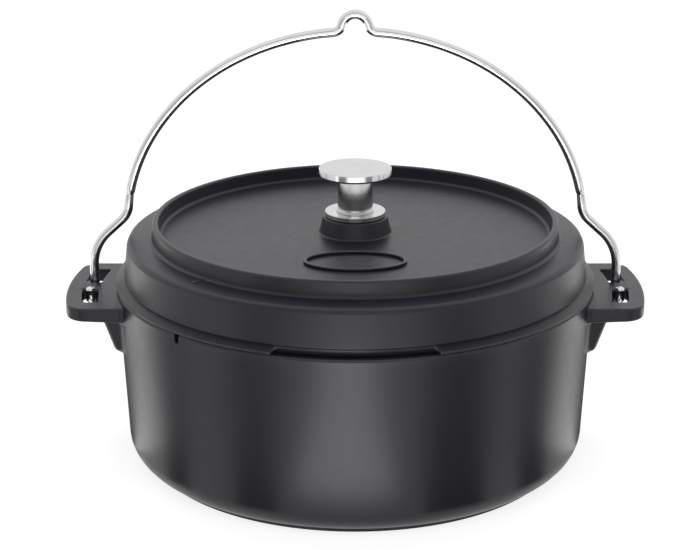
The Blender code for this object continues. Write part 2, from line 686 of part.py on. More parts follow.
def arch_route():
    """Centre line of the bail from hook to hook, as seen from the pivot."""
    first = math.asin((SHOULDER_BEND_RISE - ARCH_CENTER_RISE) / ARCH_RISE)
    last = math.acos(CREST_HALF_WIDTH / ARCH_HALF_WIDTH)
    right = [(PIVOT_SPREAD, 0, 0), (PIVOT_SPREAD, LEG_BEND_RISE, LEG_BEND_RADIUS)]
    for step in range(ARCH_STEPS + 1):
        angle = first + (last - first) * step / ARCH_STEPS
        edge = {0: SHOULDER_BEND_RADIUS, ARCH_STEPS: CREST_FOOT_RADIUS}.get(step, 0)
        height = ARCH_CENTER_RISE + ARCH_RISE * math.sin(angle)
        right.append((ARCH_HALF_WIDTH * math.cos(angle), height, edge))
    apex = right[-1][1] + CREST_HALF_WIDTH * math.tan(CREST_SLOPE)
    left = [(-across, height, edge) for across, height, edge in right[::-1]]
    outline = rounded(right + [(0, apex, CREST_RADIUS)] + left, False)
    return [Vector((point.x, HOOK_RADIUS, point.y)) for point in outline]


def make_bail(parts, material):
    """Bail bent from one rod, with its crest at the middle and a hook at each end."""
    hook = hook_route()
    other_hook = [Vector((-point.x, point.y, point.z)) for point in hook[::-1]]
    route = hook[:-1] + arch_route() + other_hook[1:]
    data = new_curve("bail_route", "3D", route, False)
    data.bevel_depth = ROD_RADIUS
    data.bevel_resolution = ROD_BEVEL_RESOLUTION
    data.use_fill_caps = True
    curve = add_object("bail_route", data, parts)
    curve.location = (0, 0, PIVOT_HEIGHT)
    bpy.context.view_layer.update()
    bail = curve_to_mesh(curve, "bail", parts)
    bail.data.materials.append(material)


def main():
    """Build every piece of the dutch oven."""
    clear_scene()
    parts = new_collection("dutch_oven")
    tools = new_collection("tools")
    iron = new_material("black_cast_iron", (0.035, 0.035, 0.038), 0.38, 0.0)
    bright_steel = new_material("polished_steel", (0.78, 0.78, 0.79), 0.12, 1.0)
    rod_steel = new_material("steel_rod", (0.72, 0.72, 0.73), 0.16, 1.0)
    plain_steel = new_material("zinc_plated_steel", (0.55, 0.56, 0.57), 0.35, 1.0)
    make_pot(parts, tools, iron)
    make_lid(parts, tools, iron)
    make_knob(parts, bright_steel)
    make_screw(parts, tools, plain_steel)
    make_washers(parts, tools, plain_steel)
    make_bail(parts, rod_steel)


main()
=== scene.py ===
"""Looks of the cast dutch oven: smooth castings, turned and bent steel, and a plain studio.

Lengths are in metres and azimuths are taken from the front, with +X on the right.
"""
import math

import bmesh
import bpy
import numpy as np
from mathutils import Matrix, Vector


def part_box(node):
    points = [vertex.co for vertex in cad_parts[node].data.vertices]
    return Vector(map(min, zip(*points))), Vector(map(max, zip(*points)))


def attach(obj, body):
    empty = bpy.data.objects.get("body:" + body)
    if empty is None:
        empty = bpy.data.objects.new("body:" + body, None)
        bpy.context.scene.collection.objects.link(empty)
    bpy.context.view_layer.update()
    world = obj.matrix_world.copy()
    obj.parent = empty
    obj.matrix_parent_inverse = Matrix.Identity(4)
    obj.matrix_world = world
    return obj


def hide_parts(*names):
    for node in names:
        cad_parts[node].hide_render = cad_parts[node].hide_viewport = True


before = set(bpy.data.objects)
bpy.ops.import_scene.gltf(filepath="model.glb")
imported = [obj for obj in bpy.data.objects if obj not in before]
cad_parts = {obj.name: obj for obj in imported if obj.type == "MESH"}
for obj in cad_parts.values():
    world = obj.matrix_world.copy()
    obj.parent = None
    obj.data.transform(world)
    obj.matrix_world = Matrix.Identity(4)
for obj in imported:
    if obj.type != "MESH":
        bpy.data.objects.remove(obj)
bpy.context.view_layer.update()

# Facets
TURN_STEPS = 288
KNOB_TURN_STEPS = 144
QUARTER_STEPS = 8
ROD_SIDES = 28
ROD_STEP = math.radians(3)
ROD_END_STEPS = 5
ARCH_STEPS = 260
STEM_STEPS = 10
NOTCH_FLANK_STEPS = 6
GAP_END_STEPS = 10
OVAL_STEPS = 160
OVAL_QUARTER_STEPS = 5
TICK_EDGE_STEPS = 4
POT_LONGEST_RUN = 0.012
LID_LONGEST_RUN = 0.010
KNOB_LONGEST_RUN = 0.003
WELD = 0.000001

# Net of cells that the lugs are meshed with
NET_STEP = 0.00055
NET_MARGIN = 0.0020
NET_TOP_MARGIN = 0.0060
NET_ROOT_DEPTH = 0.0185
SETTLE_ROUNDS = 3
LEAST_SQUARED_SLOPE = 0.2

# Heights and radii of the pieces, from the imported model
_, POT_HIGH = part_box("pot_body")
_, LID_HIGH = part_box("lid")
KNOB_LOW, KNOB_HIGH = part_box("knob")
POT_HEIGHT = POT_HIGH[2]
LUG_RADIUS = POT_HIGH[0]
FLANGE_RADIUS = LID_HIGH[0]
BOSS_TOP = LID_HIGH[2]
KNOB_BOTTOM = KNOB_LOW[2]
KNOB_TOP = KNOB_HIGH[2]
KNOB_TOP_RADIUS = KNOB_HIGH[0]
SEAT_GAP = KNOB_BOTTOM - BOSS_TOP
SEAT_HEIGHT = POT_HEIGHT + SEAT_GAP

# Pot
LUG_REACH = 0.0325
POT_RIM_RADIUS = LUG_RADIUS - LUG_REACH
POT_WALL = 0.0055
POT_FLOOR = 0.0055
POT_TAPER_SHARE = 0.049
POT_CORNER_RADIUS = 0.016
POT_INNER_CORNER_RADIUS = 0.012
RIM_EDGE_RADIUS = 0.0013
RIM_FACET_DROP = 0.0014
RIM_FACET_WIDTH = 0.0008
RIM_FACET_EDGE_RADIUS = 0.0004
FOOT_INSET = 0.0177
FOOT_RADIUS = POT_RIM_RADIUS - FOOT_INSET
FOOT_HEIGHT = 0.0024
FOOT_BAND = 0.016
FOOT_RECESS = 0.0012
FOOT_EDGE_RADIUS = 0.0006
FOOT_FILLET_RADIUS = 0.0011
NOTCH_AZIMUTH = math.radians(-44)
NOTCH_WIDTH = 0.0045
NOTCH_DEPTH = 0.0052
NOTCH_FLANK = 0.0008
NOTCH_BASE_DROP = 0.0075

# Lugs
LUG_DROP = 0.0063
LUG_TOP = POT_HEIGHT - LUG_DROP
LUG_THICKNESS = 0.0080
LUG_ROOT_SWELL = 0.0013
LUG_HALF_LENGTH = 0.0475
LUG_CORNER_RADIUS = 0.0095
LUG_EDGE_RADIUS = 0.0014
LUG_SIDE_DRAFT = 0.0008
LUG_MIDDLE = LUG_TOP - LUG_THICKNESS / 2
WINDOW_INSET = 0.0153
WINDOW_MIDDLE_RADIUS = LUG_RADIUS - WINDOW_INSET
WINDOW_WIDTH = 0.0104
WINDOW_HALF_LENGTH = 0.0330
WINDOW_CORNER_RADIUS = 0.0022
WINDOW_EDGE_RADIUS = 0.0007
BRIDGE_WIDTH = 0.0150
BRIDGE_SHRINK = 0.0002
BRIDGE_EDGE_RADIUS = 0.0022
GUSSET_TOP_REACH = 0.0088
GUSSET_FOOT_REACH = -0.0006
GUSSET_DROP = 0.0243
GUSSET_ROOT_INSET = 0.0035
GUSSET_FACE_INSET = 0.0145
GUSSET_ROOT_HALF_LENGTH = LUG_HALF_LENGTH - GUSSET_ROOT_INSET
GUSSET_FACE_HALF_LENGTH = LUG_HALF_LENGTH - GUSSET_FACE_INSET
GUSSET_FOOT_DRAFT = 0.0020
GUSSET_EDGE_RADIUS = 0.0026
TOP_FILLET = 0.0024
SIDE_FILLET = 0.0034
PLATE_FILLET = 0.0034

# Patch of wall that a lug's fillets run into, sunk just under the pot's own wall
PATCH_SINK = 0.00003
PATCH_DEPTH = 0.0025

# Lid
FLANGE_WIDTH = 0.0054
FLANGE_ROOT_HEIGHT = 0.0040
FLANGE_ROOT_UNDERCUT = 0.0006
FLANGE_ROOT_RADIUS = 0.0002
FLANGE_EDGE_HEIGHT = 0.0018
FLANGE_EDGE_RADIUS = 0.0005
FLANGE_CHAMFER = 0.0010
FLANGE_CHAMFER_RADIUS = 0.0003
SKIRT_DRAFT = 0.0022
SKIRT_FOOT_HEIGHT = 0.0050
SKIRT_FOOT_RADIUS = 0.0007
SKIRT_BOTTOM_RADIUS = FLANGE_RADIUS - FLANGE_WIDTH
SKIRT_TOP_RADIUS = SKIRT_BOTTOM_RADIUS - SKIRT_DRAFT
SHOULDER_HEIGHT = 0.0280
SHOULDER = SEAT_HEIGHT + SHOULDER_HEIGHT
SHOULDER_RISE = 0.0011
SHOULDER_FALL_WIDTH = 0.0027
SHOULDER_FALL_RADIUS = 0.0008
SHOULDER_FACET_WIDTH = 0.0011
SHOULDER_FACET_DROP = 0.0008
SHOULDER_FACET_RADIUS = 0.0010
SHOULDER_EDGE_DROP = 0.0030
SHOULDER_EDGE_RADIUS = 0.0016
RING_INSET = 0.0166
RING_RADIUS = SKIRT_TOP_RADIUS - RING_INSET
RING_WIDTH = 0.0036
RING_DRAFT = 0.0008
RING_INNER_EDGE_RADIUS = 0.0013
RING_OUTER_EDGE_RADIUS = 0.0015
RING_FILLET_RADIUS = 0.0022
TRAY_HEIGHT = 0.0300
TRAY_FLOOR = SEAT_HEIGHT + TRAY_HEIGHT
TRAY_DEPTH = 0.0096
LID_THICKNESS = 0.0045
LID_UNDERSIDE_FILLET_RADIUS = 0.0020
LID_INSIDE_FILLET_RADIUS = 0.0040
LIP_CLEARANCE = 0.0013
LIP_OUTER = POT_RIM_RADIUS - POT_WALL - LIP_CLEARANCE
LIP_WIDTH = 0.0040
LIP_DEPTH = 0.0060
LIP_ROOT_RADIUS = 0.0003
LIP_EDGE_RADIUS = 0.0008
GAP_HALF_ANGLE = math.radians(18.5)
GAP_BITE = 0.0002
GAP_HEIGHT = 0.0046
GAP_UNDERCUT = 0.0010
GAP_END_ANGLE = math.radians(1.1)
SCREW_HOLE_RADIUS = 0.0035
BOSS_TOP_RADIUS = 0.0205
BOSS_DRAFT = 0.0026
BOSS_EDGE_RADIUS = 0.0009
BOSS_FILLET_RADIUS = 0.0014
OVAL_HALF_LENGTH = 0.0317
OVAL_HALF_WIDTH = 0.0188
OVAL_CENTER = 0.0641
OVAL_RIM = 0.0024
OVAL_HEIGHT = 0.0018
OVAL_SINK = 0.0006
OVAL_DRAFT = 0.0001
OVAL_EDGE_RADIUS = 0.0006
TICK_SIZE = (0.0030, 0.0080, 0.0040)
TICK_EDGE_RADIUS = 0.0007
TICK_HEIGHT = 0.0006
TICK_SLOPE_SHARE = 0.8

# Knob
KNOB_FLANGE_RADIUS = 0.0193
KNOB_FLANGE_THICKNESS = 0.0031
KNOB_FLANGE_CHAMFER = 0.0003
KNOB_FLANGE_EDGE_RADIUS = 0.0004
KNOB_STEP_WIDTH = 0.0011
KNOB_STEP_HEIGHT = 0.0014
KNOB_STEP_UNDERCUT = 0.0006
KNOB_STEP_EDGE_RADIUS = 0.0005
KNOB_STEP_FILLET_RADIUS = 0.0002
KNOB_STEM_RADIUS = 0.0113
KNOB_STEM_TAPER = 0.0012
KNOB_STEM_FILLET_RADIUS = 0.0005
KNOB_HEAD_THICKNESS = 0.0049
KNOB_HEAD_DRAFT = 0.0010
KNOB_HEAD_TILT = 0.00012
KNOB_HEAD_SIDE_SHARE = 0.75
KNOB_HEAD_EDGE_RADIUS = 0.0003
KNOB_HEAD_UNDER_RADIUS = 0.0004
KNOB_FINE_EDGE_RADIUS = 0.0001
KNOB_BORE_RADIUS = 0.0033
KNOB_BORE_DEPTH = 0.0095
KNOB_BORE_EDGE_RADIUS = 0.0002

# Bail, with its heights taken from the pivot
ROD_RADIUS = 0.0030
ROD_END_RADIUS = 0.0018
HOOK_CLEARANCE = 0.0009
HOOK_RADIUS = BRIDGE_WIDTH / 2 + HOOK_CLEARANCE + ROD_RADIUS
HOOK_TIP_RISE = 0.0026
PIVOT_SPREAD = math.sqrt(WINDOW_MIDDLE_RADIUS ** 2 - HOOK_RADIUS ** 2)
LEG_BEND_RISE = 0.0274
LEG_BEND_RADIUS = 0.0300
SHOULDER_BEND_RISE = 0.0486
SHOULDER_BEND_RADIUS = 0.0150
ARCH_INSET = 0.0227
ARCH_HALF_WIDTH = PIVOT_SPREAD - ARCH_INSET
ARCH_CENTER_RISE = 0.0406
ARCH_RISE = 0.1270
ARCH_START_SPAN = 0.10
ARCH_END_SPAN = 0.08
CREST_SLOPE = math.radians(74)
CREST_FOOT_RADIUS = 0.0060
CREST_FLAT = 0.0005
CREST_RADIUS = 0.0086
PINCH_RISES = (0.0560, 0.0622)
PINCH_LENGTH = 0.0016
PINCH_SHARE = 0.16

# Camera, fitted to the photograph, whose width in pixels sets its scale
PHOTO_WIDTH = 700
FOCAL_PIXELS = 1935
CENTER_PIXEL = 355.25
SENSOR_WIDTH = 36
CAMERA_PLACE = (0, -1.183, 0.513)
CAMERA_TILT = math.radians(18.51)

# Wear and painted edge highlight, from how far a vertex stands out from its neighbours, per metre
WEAR_AND_SHEEN_START = 60
WEAR_AND_SHEEN_SPREAD = 500

# Finishes: colours, ranges of roughness, and bumps as (height, strength)
NOISE_RANGE = (0.3, 0.7)
NOISE_ROUGHNESS = 0.5
GRAIN_ROUGHNESS = 0.6
CLOUD_DETAIL = 3
MARK_DETAIL = 2
IRON_DARK = (0.0084, 0.0078, 0.0124)
IRON_LIGHT = (0.0108, 0.0101, 0.0156)
# Lighter colour of edges that stand out: partly rubbed iron, partly a painted highlight along the edges
IRON_RUBBED_AND_SHEEN = (0.045, 0.045, 0.047)
IRON_ROUGHNESS = (0.34, 0.38)
IRON_RUBBED_SMOOTHING = 0.08
IRON_RUBBED_AND_SHEEN_SHARES = (0.35, 1)
IRON_REFLECTION = 0.40
IRON_CLOUD_SCALE = 22
IRON_PATCH_SCALE = 160
IRON_PATCH_BUMP = (0.00025, 0.10)
IRON_GRAIN_SCALE = 1500
IRON_GRAIN_BUMP = (0.00005, 0.22)
KNOB_COLOR = (0.64, 0.64, 0.645)
KNOB_ROUGHNESS = (0.13, 0.19)
ZINC_COLOR = (0.55, 0.56, 0.57)
ZINC_ROUGHNESS = (0.28, 0.38)
TURNED_HAZE_SCALE = 90
TURNED_HAZE_SHARE = 0.94
TURNED_HAZE_ROUGHNESS = (-0.01, 0.02)
TURNED_MARK_SCALE = 2600
TURNED_MARK_BUMP = (0.00001, 0.10)
ROD_COLOR = (0.72, 0.72, 0.73)
ROD_ROUGHNESS = (0.10, 0.17)
ROD_HAZE_SCALE = 120
ROD_HAZE_SHARE = 0.93
ROD_SCUFF_SCALE = 2200
ROD_SCUFF_BUMP = (0.000008, 0.12)
MATT = 0.9

# Room: how bright mirrors see it from in front to behind and above, and its fill for the rest
ROOM_TONE = 0.55
BRIGHT_SIDE = (0, 1, 0.6)
BRIGHT_SPREAD = (-0.45, 0.10)
WORLD_FILL = 0.45
FLOOR_HALF_SIZE = 6.0
FLOOR_TONE = 0.35
FLOOR_GLOW = 0.82

# Panels overhead: name, place, point that they face, size, power, and whether mirrors see them
UPPER_PANELS = (
    ("panel_top", (0, 0.30, 1.4), (0, 0, 0.1), (1.2, 0.6), 11.5, False),
    ("panel_high", (0, -1.05, 1.05), (0, 0, 0.12), (0.90, 0.60), 4.0, False),
    ("panel_low", (0, -1.22, 0.58), (0, 0, 0.15), (1.20, 0.20), 1.4, True),
)

# Panels on the floor, for the middle of the pot and for the knob: name, azimuth in degrees, nearest
# and farthest distance from the pot's axis, width, radiance
FLOOR_PANELS = (
    ("panel_front", -3, 0.19, 0.42, 0.11, 3.1),
    ("panel_front_far", -2, 0.42, 0.60, 0.13, 4.6),
    ("panel_knob", 2, 0.61, 1.05, 0.70, 1.3),
    ("panel_knob_left", -58, 0.66, 1.05, 0.10, 1.6),
)

# Panels on the floor that each side mirrors: where they start, meet and end, as the azimuth on the
# wall and the distance from it, then each one's width and radiance, and the dark card beside them
SIDE_START = (62, 0.04)
SIDE_MIDDLE = (62, 0.28)
SIDE_END = (68, 0.60)
SIDE_BODY_PANEL = (0.06, 1.1)
SIDE_SKIRT_PANEL = (0.12, 1.9)
SIDE_EDGE_AZIMUTHS = (72, 90)
SIDE_EDGE_TONE = 0.03

# Grey cards on the floor: name, first and last azimuth in degrees, tone. The near ones are placed by
# the azimuth on the wall that mirrors them, the far ones by their own.
NEAR_CARDS = (
    ("card_left", -19, -30, 0.30),
    ("card_left_side", -45, -54, 0.22),
    ("card_right", 17, 33, 0.22),
    ("card_right_side", 44, 55, 0.12),
)
NEAR_REACH = (0.01, 0.44)
FAR_CARDS = (
    ("card_far_left", -28, -53, 0.15),
    ("card_far_right", 33, 54, 0.15),
    ("card_far_right_side", 77, 81, 0.15),
)
FAR_REACH = (0.66, 1.10)
CARD_STEPS = 8

# Height of the cards over the floor, and radius that stands for the wall that mirrors them
CARD_LIFT = 0.002
MIRROR_RADIUS = 0.15


def fillet(before, corner, after, radius, quarter_steps):
    """Points of the arc that rounds one corner of an outline in a plane."""
    into = (before - corner).normalized()
    away = (after - corner).normalized()
    half_angle = into.angle(away) / 2
    reach = radius / math.tan(half_angle)
    center = corner + (into + away).normalized() * (radius / math.sin(half_angle))
    first = corner + into * reach - center
    last = corner + away * reach - center
    turn = math.atan2(first.x * last.y - first.y * last.x, first.dot(last))
    steps = max(2, math.ceil(abs(turn) / (math.pi / 2) * quarter_steps))
    return [center + Matrix.Rotation(turn * step / steps, 2) @ first for step in range(steps + 1)]


def rounded(corners, closed, quarter_steps=QUARTER_STEPS):
    """Points of an outline given as (x, y, edge radius) corners."""
    places = [Vector(corner[:2]) for corner in corners]
    points = []
    for index, corner in enumerate(corners):
        at_end = not closed and index in (0, len(corners) - 1)
        if at_end or corner[2] == 0:
            points.append(places[index])
            continue
        after = places[(index + 1) % len(places)]
        points.extend(fillet(places[index - 1], places[index], after, corner[2], quarter_steps))
    return np.array([tuple(point) for point in points])


def split_long(points, closed, longest):
    """Cut the long straight runs of an outline into shorter ones."""
    result = []
    count = len(points)
    for index in range(count if closed else count - 1):
        start = points[index]
        end = points[(index + 1) % count]
        pieces = max(1, math.ceil(np.linalg.norm(end - start) / longest))
        result.extend(start + (end - start) * part / pieces for part in range(pieces))
    if not closed:
        result.append(points[-1])
    return np.array(result)


def add_object(name, data):
    """Add an object to the scene."""
    thing = bpy.data.objects.new(name, data)
    bpy.context.scene.collection.objects.link(thing)
    return thing


def mesh_object(name, vertices, faces):
    """Smooth-shaded object from vertices and faces."""
    mesh = bpy.data.meshes.new(name)
    mesh.from_pydata([tuple(vertex) for vertex in vertices], [], [tuple(face) for face in faces])
    sheet = bmesh.new()
    sheet.from_mesh(mesh)
    bmesh.ops.remove_doubles(sheet, verts=sheet.verts, dist=WELD)
    bmesh.ops.recalc_face_normals(sheet, faces=sheet.faces)
    sheet.to_mesh(mesh)
    sheet.free()
    mesh.shade_smooth()
    return add_object(name, mesh)


def ring_faces(columns, rows, closed_rows):
    """Quads between the columns of a turned or swept grid whose last column meets the first."""
    faces = []
    for column in range(columns):
        following = (column + 1) % columns
        for row in range(rows if closed_rows else rows - 1):
            above = (row + 1) % rows
            faces.append((column * rows + row, following * rows + row,
                          following * rows + above, column * rows + above))
    return faces


def turned(name, profile, azimuths, closed, bend=None):
    """Turn a profile of (radius, height) points about Z. bend may move a column's points."""
    columns = []
    for azimuth in azimuths:
        points = profile if bend is None else bend(profile, azimuth)
        radius, height = points.T
        columns.append(np.stack([radius * math.sin(azimuth), -radius * math.cos(azimuth), height], 1))
    vertices = np.concatenate(columns)
    return mesh_object(name, vertices, ring_faces(len(azimuths), len(profile), closed))


def even_azimuths(steps, extra=()):
    """Azimuths round a full turn, with extra ones where a detail needs them."""
    turn = [math.tau * step / steps - math.pi for step in range(steps)]
    spacing = math.tau / steps / 4
    kept = [azimuth for azimuth in turn if all(abs(azimuth - other) > spacing for other in extra)]
    return sorted(kept + list(extra))


def smooth_step(value):
    """Ease a share from 0 to 1."""
    share = np.clip(value, 0, 1)
    return share * share * (3 - 2 * share)


def wall_radius(height):
    """Radius of the pot's tapered outer wall at a height."""
    return POT_RIM_RADIUS - POT_TAPER_SHARE * (POT_HEIGHT - height)


def pot_profile():
    """Outline of the pot's section, from the middle of its underside round to its inside floor."""
    foot_inner = FOOT_RADIUS - FOOT_BAND
    floor = FOOT_HEIGHT + POT_FLOOR
    inner_rim = POT_RIM_RADIUS - POT_WALL
    inner_base = inner_rim - POT_TAPER_SHARE * (POT_HEIGHT - floor)
    corners = [
        (0, FOOT_RECESS, 0),
        (foot_inner - FOOT_RECESS, FOOT_RECESS, FOOT_EDGE_RADIUS),
        (foot_inner, 0, FOOT_EDGE_RADIUS / 2),
        (FOOT_RADIUS, 0, FOOT_EDGE_RADIUS),
        (FOOT_RADIUS, FOOT_HEIGHT, FOOT_FILLET_RADIUS),
        (wall_radius(FOOT_HEIGHT), FOOT_HEIGHT, POT_CORNER_RADIUS),
        (wall_radius(POT_HEIGHT - NOTCH_BASE_DROP), POT_HEIGHT - NOTCH_BASE_DROP, 0),
        (wall_radius(POT_HEIGHT - RIM_FACET_DROP), POT_HEIGHT - RIM_FACET_DROP, RIM_FACET_EDGE_RADIUS),
        (POT_RIM_RADIUS - RIM_FACET_WIDTH, POT_HEIGHT, RIM_FACET_EDGE_RADIUS),
        (inner_rim, POT_HEIGHT, RIM_EDGE_RADIUS),
        (inner_rim - POT_TAPER_SHARE * NOTCH_BASE_DROP, POT_HEIGHT - NOTCH_BASE_DROP, 0),
        (inner_base, floor, POT_INNER_CORNER_RADIUS),
        (0, floor, 0),
    ]
    return split_long(rounded(corners, False), False, POT_LONGEST_RUN)


def notch_bend(profile, azimuth):
    """Lower the rim in the columns that cross the notch."""
    across = abs(azimuth - NOTCH_AZIMUTH) * POT_RIM_RADIUS
    depth = NOTCH_DEPTH * smooth_step((NOTCH_WIDTH / 2 - across) / NOTCH_FLANK)
    base = POT_HEIGHT - NOTCH_BASE_DROP
    bent = profile.copy()
    high = bent[:, 1] > base
    bent[high, 1] = base + (bent[high, 1] - base) * (NOTCH_BASE_DROP - depth) / NOTCH_BASE_DROP
    return bent


def notch_azimuths():
    """Azimuths that give the notch upright flanks."""
    reach = NOTCH_WIDTH / 2 / POT_RIM_RADIUS
    flank = NOTCH_FLANK / POT_RIM_RADIUS
    places = [reach - flank * part / NOTCH_FLANK_STEPS for part in range(NOTCH_FLANK_STEPS + 1)]
    places.append((reach - flank) / 2)
    return [NOTCH_AZIMUTH + sign * place for sign in (-1, 1) for place in places] + [NOTCH_AZIMUTH]


def both(first, second, edge_radius):
    """Distance to what two fields share, with the edge between them rounded."""
    across = first + edge_radius
    along = second + edge_radius
    outside = np.hypot(np.maximum(across, 0), np.maximum(along, 0))
    return np.minimum(np.maximum(across, along), 0) + outside - edge_radius


def either(first, second, reach):
    """Distance to two fields joined by a fillet."""
    share = np.maximum(reach - np.abs(first - second), 0) / reach
    return np.minimum(first, second) - share * share * reach / 4


def plate_field(radius, side, height):
    """Distance to the lug's plate with its window and the bar across it."""
    rise = np.clip((height - LUG_TOP) / LUG_THICKNESS + 1, 0, 1)
    outline = both(radius - LUG_RADIUS, side - LUG_HALF_LENGTH + LUG_SIDE_DRAFT * rise, LUG_CORNER_RADIUS)
    share = np.clip((LUG_RADIUS - radius) / LUG_REACH, 0, 1)
    underside = LUG_TOP - LUG_THICKNESS - LUG_ROOT_SWELL * share
    plate = both(outline, np.maximum(height - LUG_TOP, underside - height), LUG_EDGE_RADIUS)
    band = np.abs(radius - WINDOW_MIDDLE_RADIUS) - WINDOW_WIDTH / 2
    window = both(band, side - WINDOW_HALF_LENGTH, WINDOW_CORNER_RADIUS)
    pierced = both(plate, -window, WINDOW_EDGE_RADIUS)
    thickness = np.abs(height - LUG_MIDDLE) - (LUG_THICKNESS / 2 - BRIDGE_SHRINK)
    bar = both(side - BRIDGE_WIDTH / 2, thickness, BRIDGE_EDGE_RADIUS)
    bar = np.maximum(bar, band - WINDOW_EDGE_RADIUS * 2)
    return either(pierced, bar, WINDOW_EDGE_RADIUS * 2)


def gusset_field(along, side, height):
    """Distance to the block that carries the lug from below."""
    top = LUG_TOP - LUG_THICKNESS
    share = (top - height) / GUSSET_DROP
    slope = math.atan2(GUSSET_TOP_REACH - GUSSET_FOOT_REACH, GUSSET_DROP)
    reach = POT_RIM_RADIUS + GUSSET_TOP_REACH - (GUSSET_TOP_REACH - GUSSET_FOOT_REACH) * share
    face = (along - reach) * math.cos(slope)
    root = math.sqrt((POT_RIM_RADIUS - POT_WALL) ** 2 - GUSSET_ROOT_HALF_LENGTH ** 2)
    run = POT_RIM_RADIUS + GUSSET_TOP_REACH - root
    fall = GUSSET_ROOT_HALF_LENGTH - GUSSET_FACE_HALF_LENGTH
    length = math.hypot(run, fall)
    width = side - GUSSET_ROOT_HALF_LENGTH + GUSSET_FOOT_DRAFT * share
    flank = ((along - root) * fall + width * run) / length
    block = both(face, flank, GUSSET_EDGE_RADIUS)
    foot = both(block, top - GUSSET_DROP - height, GUSSET_EDGE_RADIUS)
    return np.maximum(foot, height - LUG_MIDDLE)


def lug_field(points):
    """Distance to one lug, its gusset and the thin patch of wall that their fillets run into."""
    along, across, height = points
    side = np.abs(across)
    radius = np.hypot(along, across)
    plate = plate_field(radius, side, height)
    carried = either(plate, gusset_field(along, side, height), PLATE_FILLET)
    wall = radius - wall_radius(height) + PATCH_SINK
    above = smooth_step((height - LUG_MIDDLE) / (LUG_THICKNESS / 2))
    joined = either(carried, wall, SIDE_FILLET + (TOP_FILLET - SIDE_FILLET) * above)
    inner = wall_radius(height) - PATCH_DEPTH - radius
    low = LUG_TOP - LUG_THICKNESS - GUSSET_DROP - SIDE_FILLET
    high = LUG_TOP + TOP_FILLET + WINDOW_EDGE_RADIUS
    bounds = np.maximum(np.maximum(low - height, height - high), side - LUG_HALF_LENGTH - SIDE_FILLET)
    return np.maximum(np.maximum(joined, inner), bounds)


def net_vertices(values, low, step):
    """One vertex for each cell that a field's surface crosses, and the cells' vertex numbers."""
    corners = [(x, y, z) for x in (0, 1) for y in (0, 1) for z in (0, 1)]
    shape = tuple(size - 1 for size in values.shape)
    total = np.zeros(shape + (3,))
    count = np.zeros(shape)
    for first in corners:
        for axis in range(3):
            if first[axis]:
                continue
            second = list(first)
            second[axis] = 1
            start = values[tuple(slice(at, at + size) for at, size in zip(first, shape))]
            end = values[tuple(slice(at, at + size) for at, size in zip(second, shape))]
            crossed = (start < 0) != (end < 0)
            share = np.where(crossed, start / np.where(crossed, start - end, 1), 0)
            for direction in range(3):
                place = first[direction] + (share if direction == axis else 0)
                total[..., direction] += np.where(crossed, place, 0)
            count += crossed
    cells = np.argwhere(count > 0)
    picked = tuple(cells.T)
    vertices = (cells + total[picked] / count[picked][:, None]) * step + low
    numbers = np.full(shape, -1)
    numbers[picked] = np.arange(len(cells))
    return vertices, numbers


def net_faces(values, numbers):
    """Quads round each grid edge that a field's surface crosses."""
    faces = []
    for axis in range(3):
        first, second = [other for other in range(3) if other != axis]
        low = [slice(1, -1)] * 3
        high = [slice(1, -1)] * 3
        low[axis] = slice(0, -1)
        high[axis] = slice(1, None)
        edges = np.argwhere((values[tuple(low)] < 0) != (values[tuple(high)] < 0))
        edges[:, first] += 1
        edges[:, second] += 1
        quad = []
        for step_first, step_second in ((-1, -1), (0, -1), (0, 0), (-1, 0)):
            cell = edges.copy()
            cell[:, first] += step_first
            cell[:, second] += step_second
            quad.append(numbers[tuple(cell.T)])
        faces.append(np.stack(quad, 1))
    return np.concatenate(faces)


def settle(vertices, field):
    """Move vertices onto the zero surface of a distance field."""
    reach = NET_STEP / 10
    for _ in range(SETTLE_ROUNDS):
        gradient = []
        for axis in range(3):
            offset = np.zeros(3)
            offset[axis] = reach
            gradient.append((field((vertices + offset).T) - field((vertices - offset).T)) / (2 * reach))
        gradient = np.stack(gradient, 1)
        squared = np.maximum((gradient ** 2).sum(1), LEAST_SQUARED_SLOPE)
        move = (field(vertices.T) / squared)[:, None] * gradient
        vertices = vertices - np.clip(move, -NET_STEP / 2, NET_STEP / 2)
    return vertices


def lug_mesh():
    """Vertices and faces of the right lug with its gusset."""
    side = LUG_HALF_LENGTH + SIDE_FILLET + NET_MARGIN
    bottom = LUG_TOP - LUG_THICKNESS - GUSSET_DROP - SIDE_FILLET - NET_MARGIN
    low = np.array([POT_RIM_RADIUS - NET_ROOT_DEPTH, -side, bottom])
    high = np.array([LUG_RADIUS + NET_MARGIN, side, LUG_TOP + NET_TOP_MARGIN])
    axes = [np.arange(start, end, NET_STEP) for start, end in zip(low, high)]
    values = lug_field(np.meshgrid(*axes, indexing="ij"))
    vertices, numbers = net_vertices(values, low, NET_STEP)
    return settle(vertices, lug_field), net_faces(values, numbers)


def join(name, pieces):
    """Join objects into one mesh object."""
    target = bpy.data.meshes.new(name)
    sheet = bmesh.new()
    for piece in pieces:
        mesh = piece.data
        mesh.transform(piece.matrix_basis)
        sheet.from_mesh(mesh)
        bpy.data.objects.remove(piece, do_unlink=True)
    sheet.to_mesh(target)
    sheet.free()
    target.shade_smooth()
    return add_object(name, target)


def flat_normals(piece):
    """Let large faces set the normals at their rounded edges."""
    modifier = piece.modifiers.new("normals", "WEIGHTED_NORMAL")
    modifier.keep_sharp = True


def make_pot():
    """Pot casting: the turned body with a notched rim, and a lug on each side."""
    azimuths = even_azimuths(TURN_STEPS, notch_azimuths())
    body = turned("pot_shell", pot_profile(), azimuths, False, notch_bend)
    vertices, faces = lug_mesh()
    right = mesh_object("lug_right", vertices, faces)
    left = mesh_object("lug_left", vertices * (-1, -1, 1), faces)
    pot = join("pot_casting", [body, right, left])
    flat_normals(pot)
    return pot


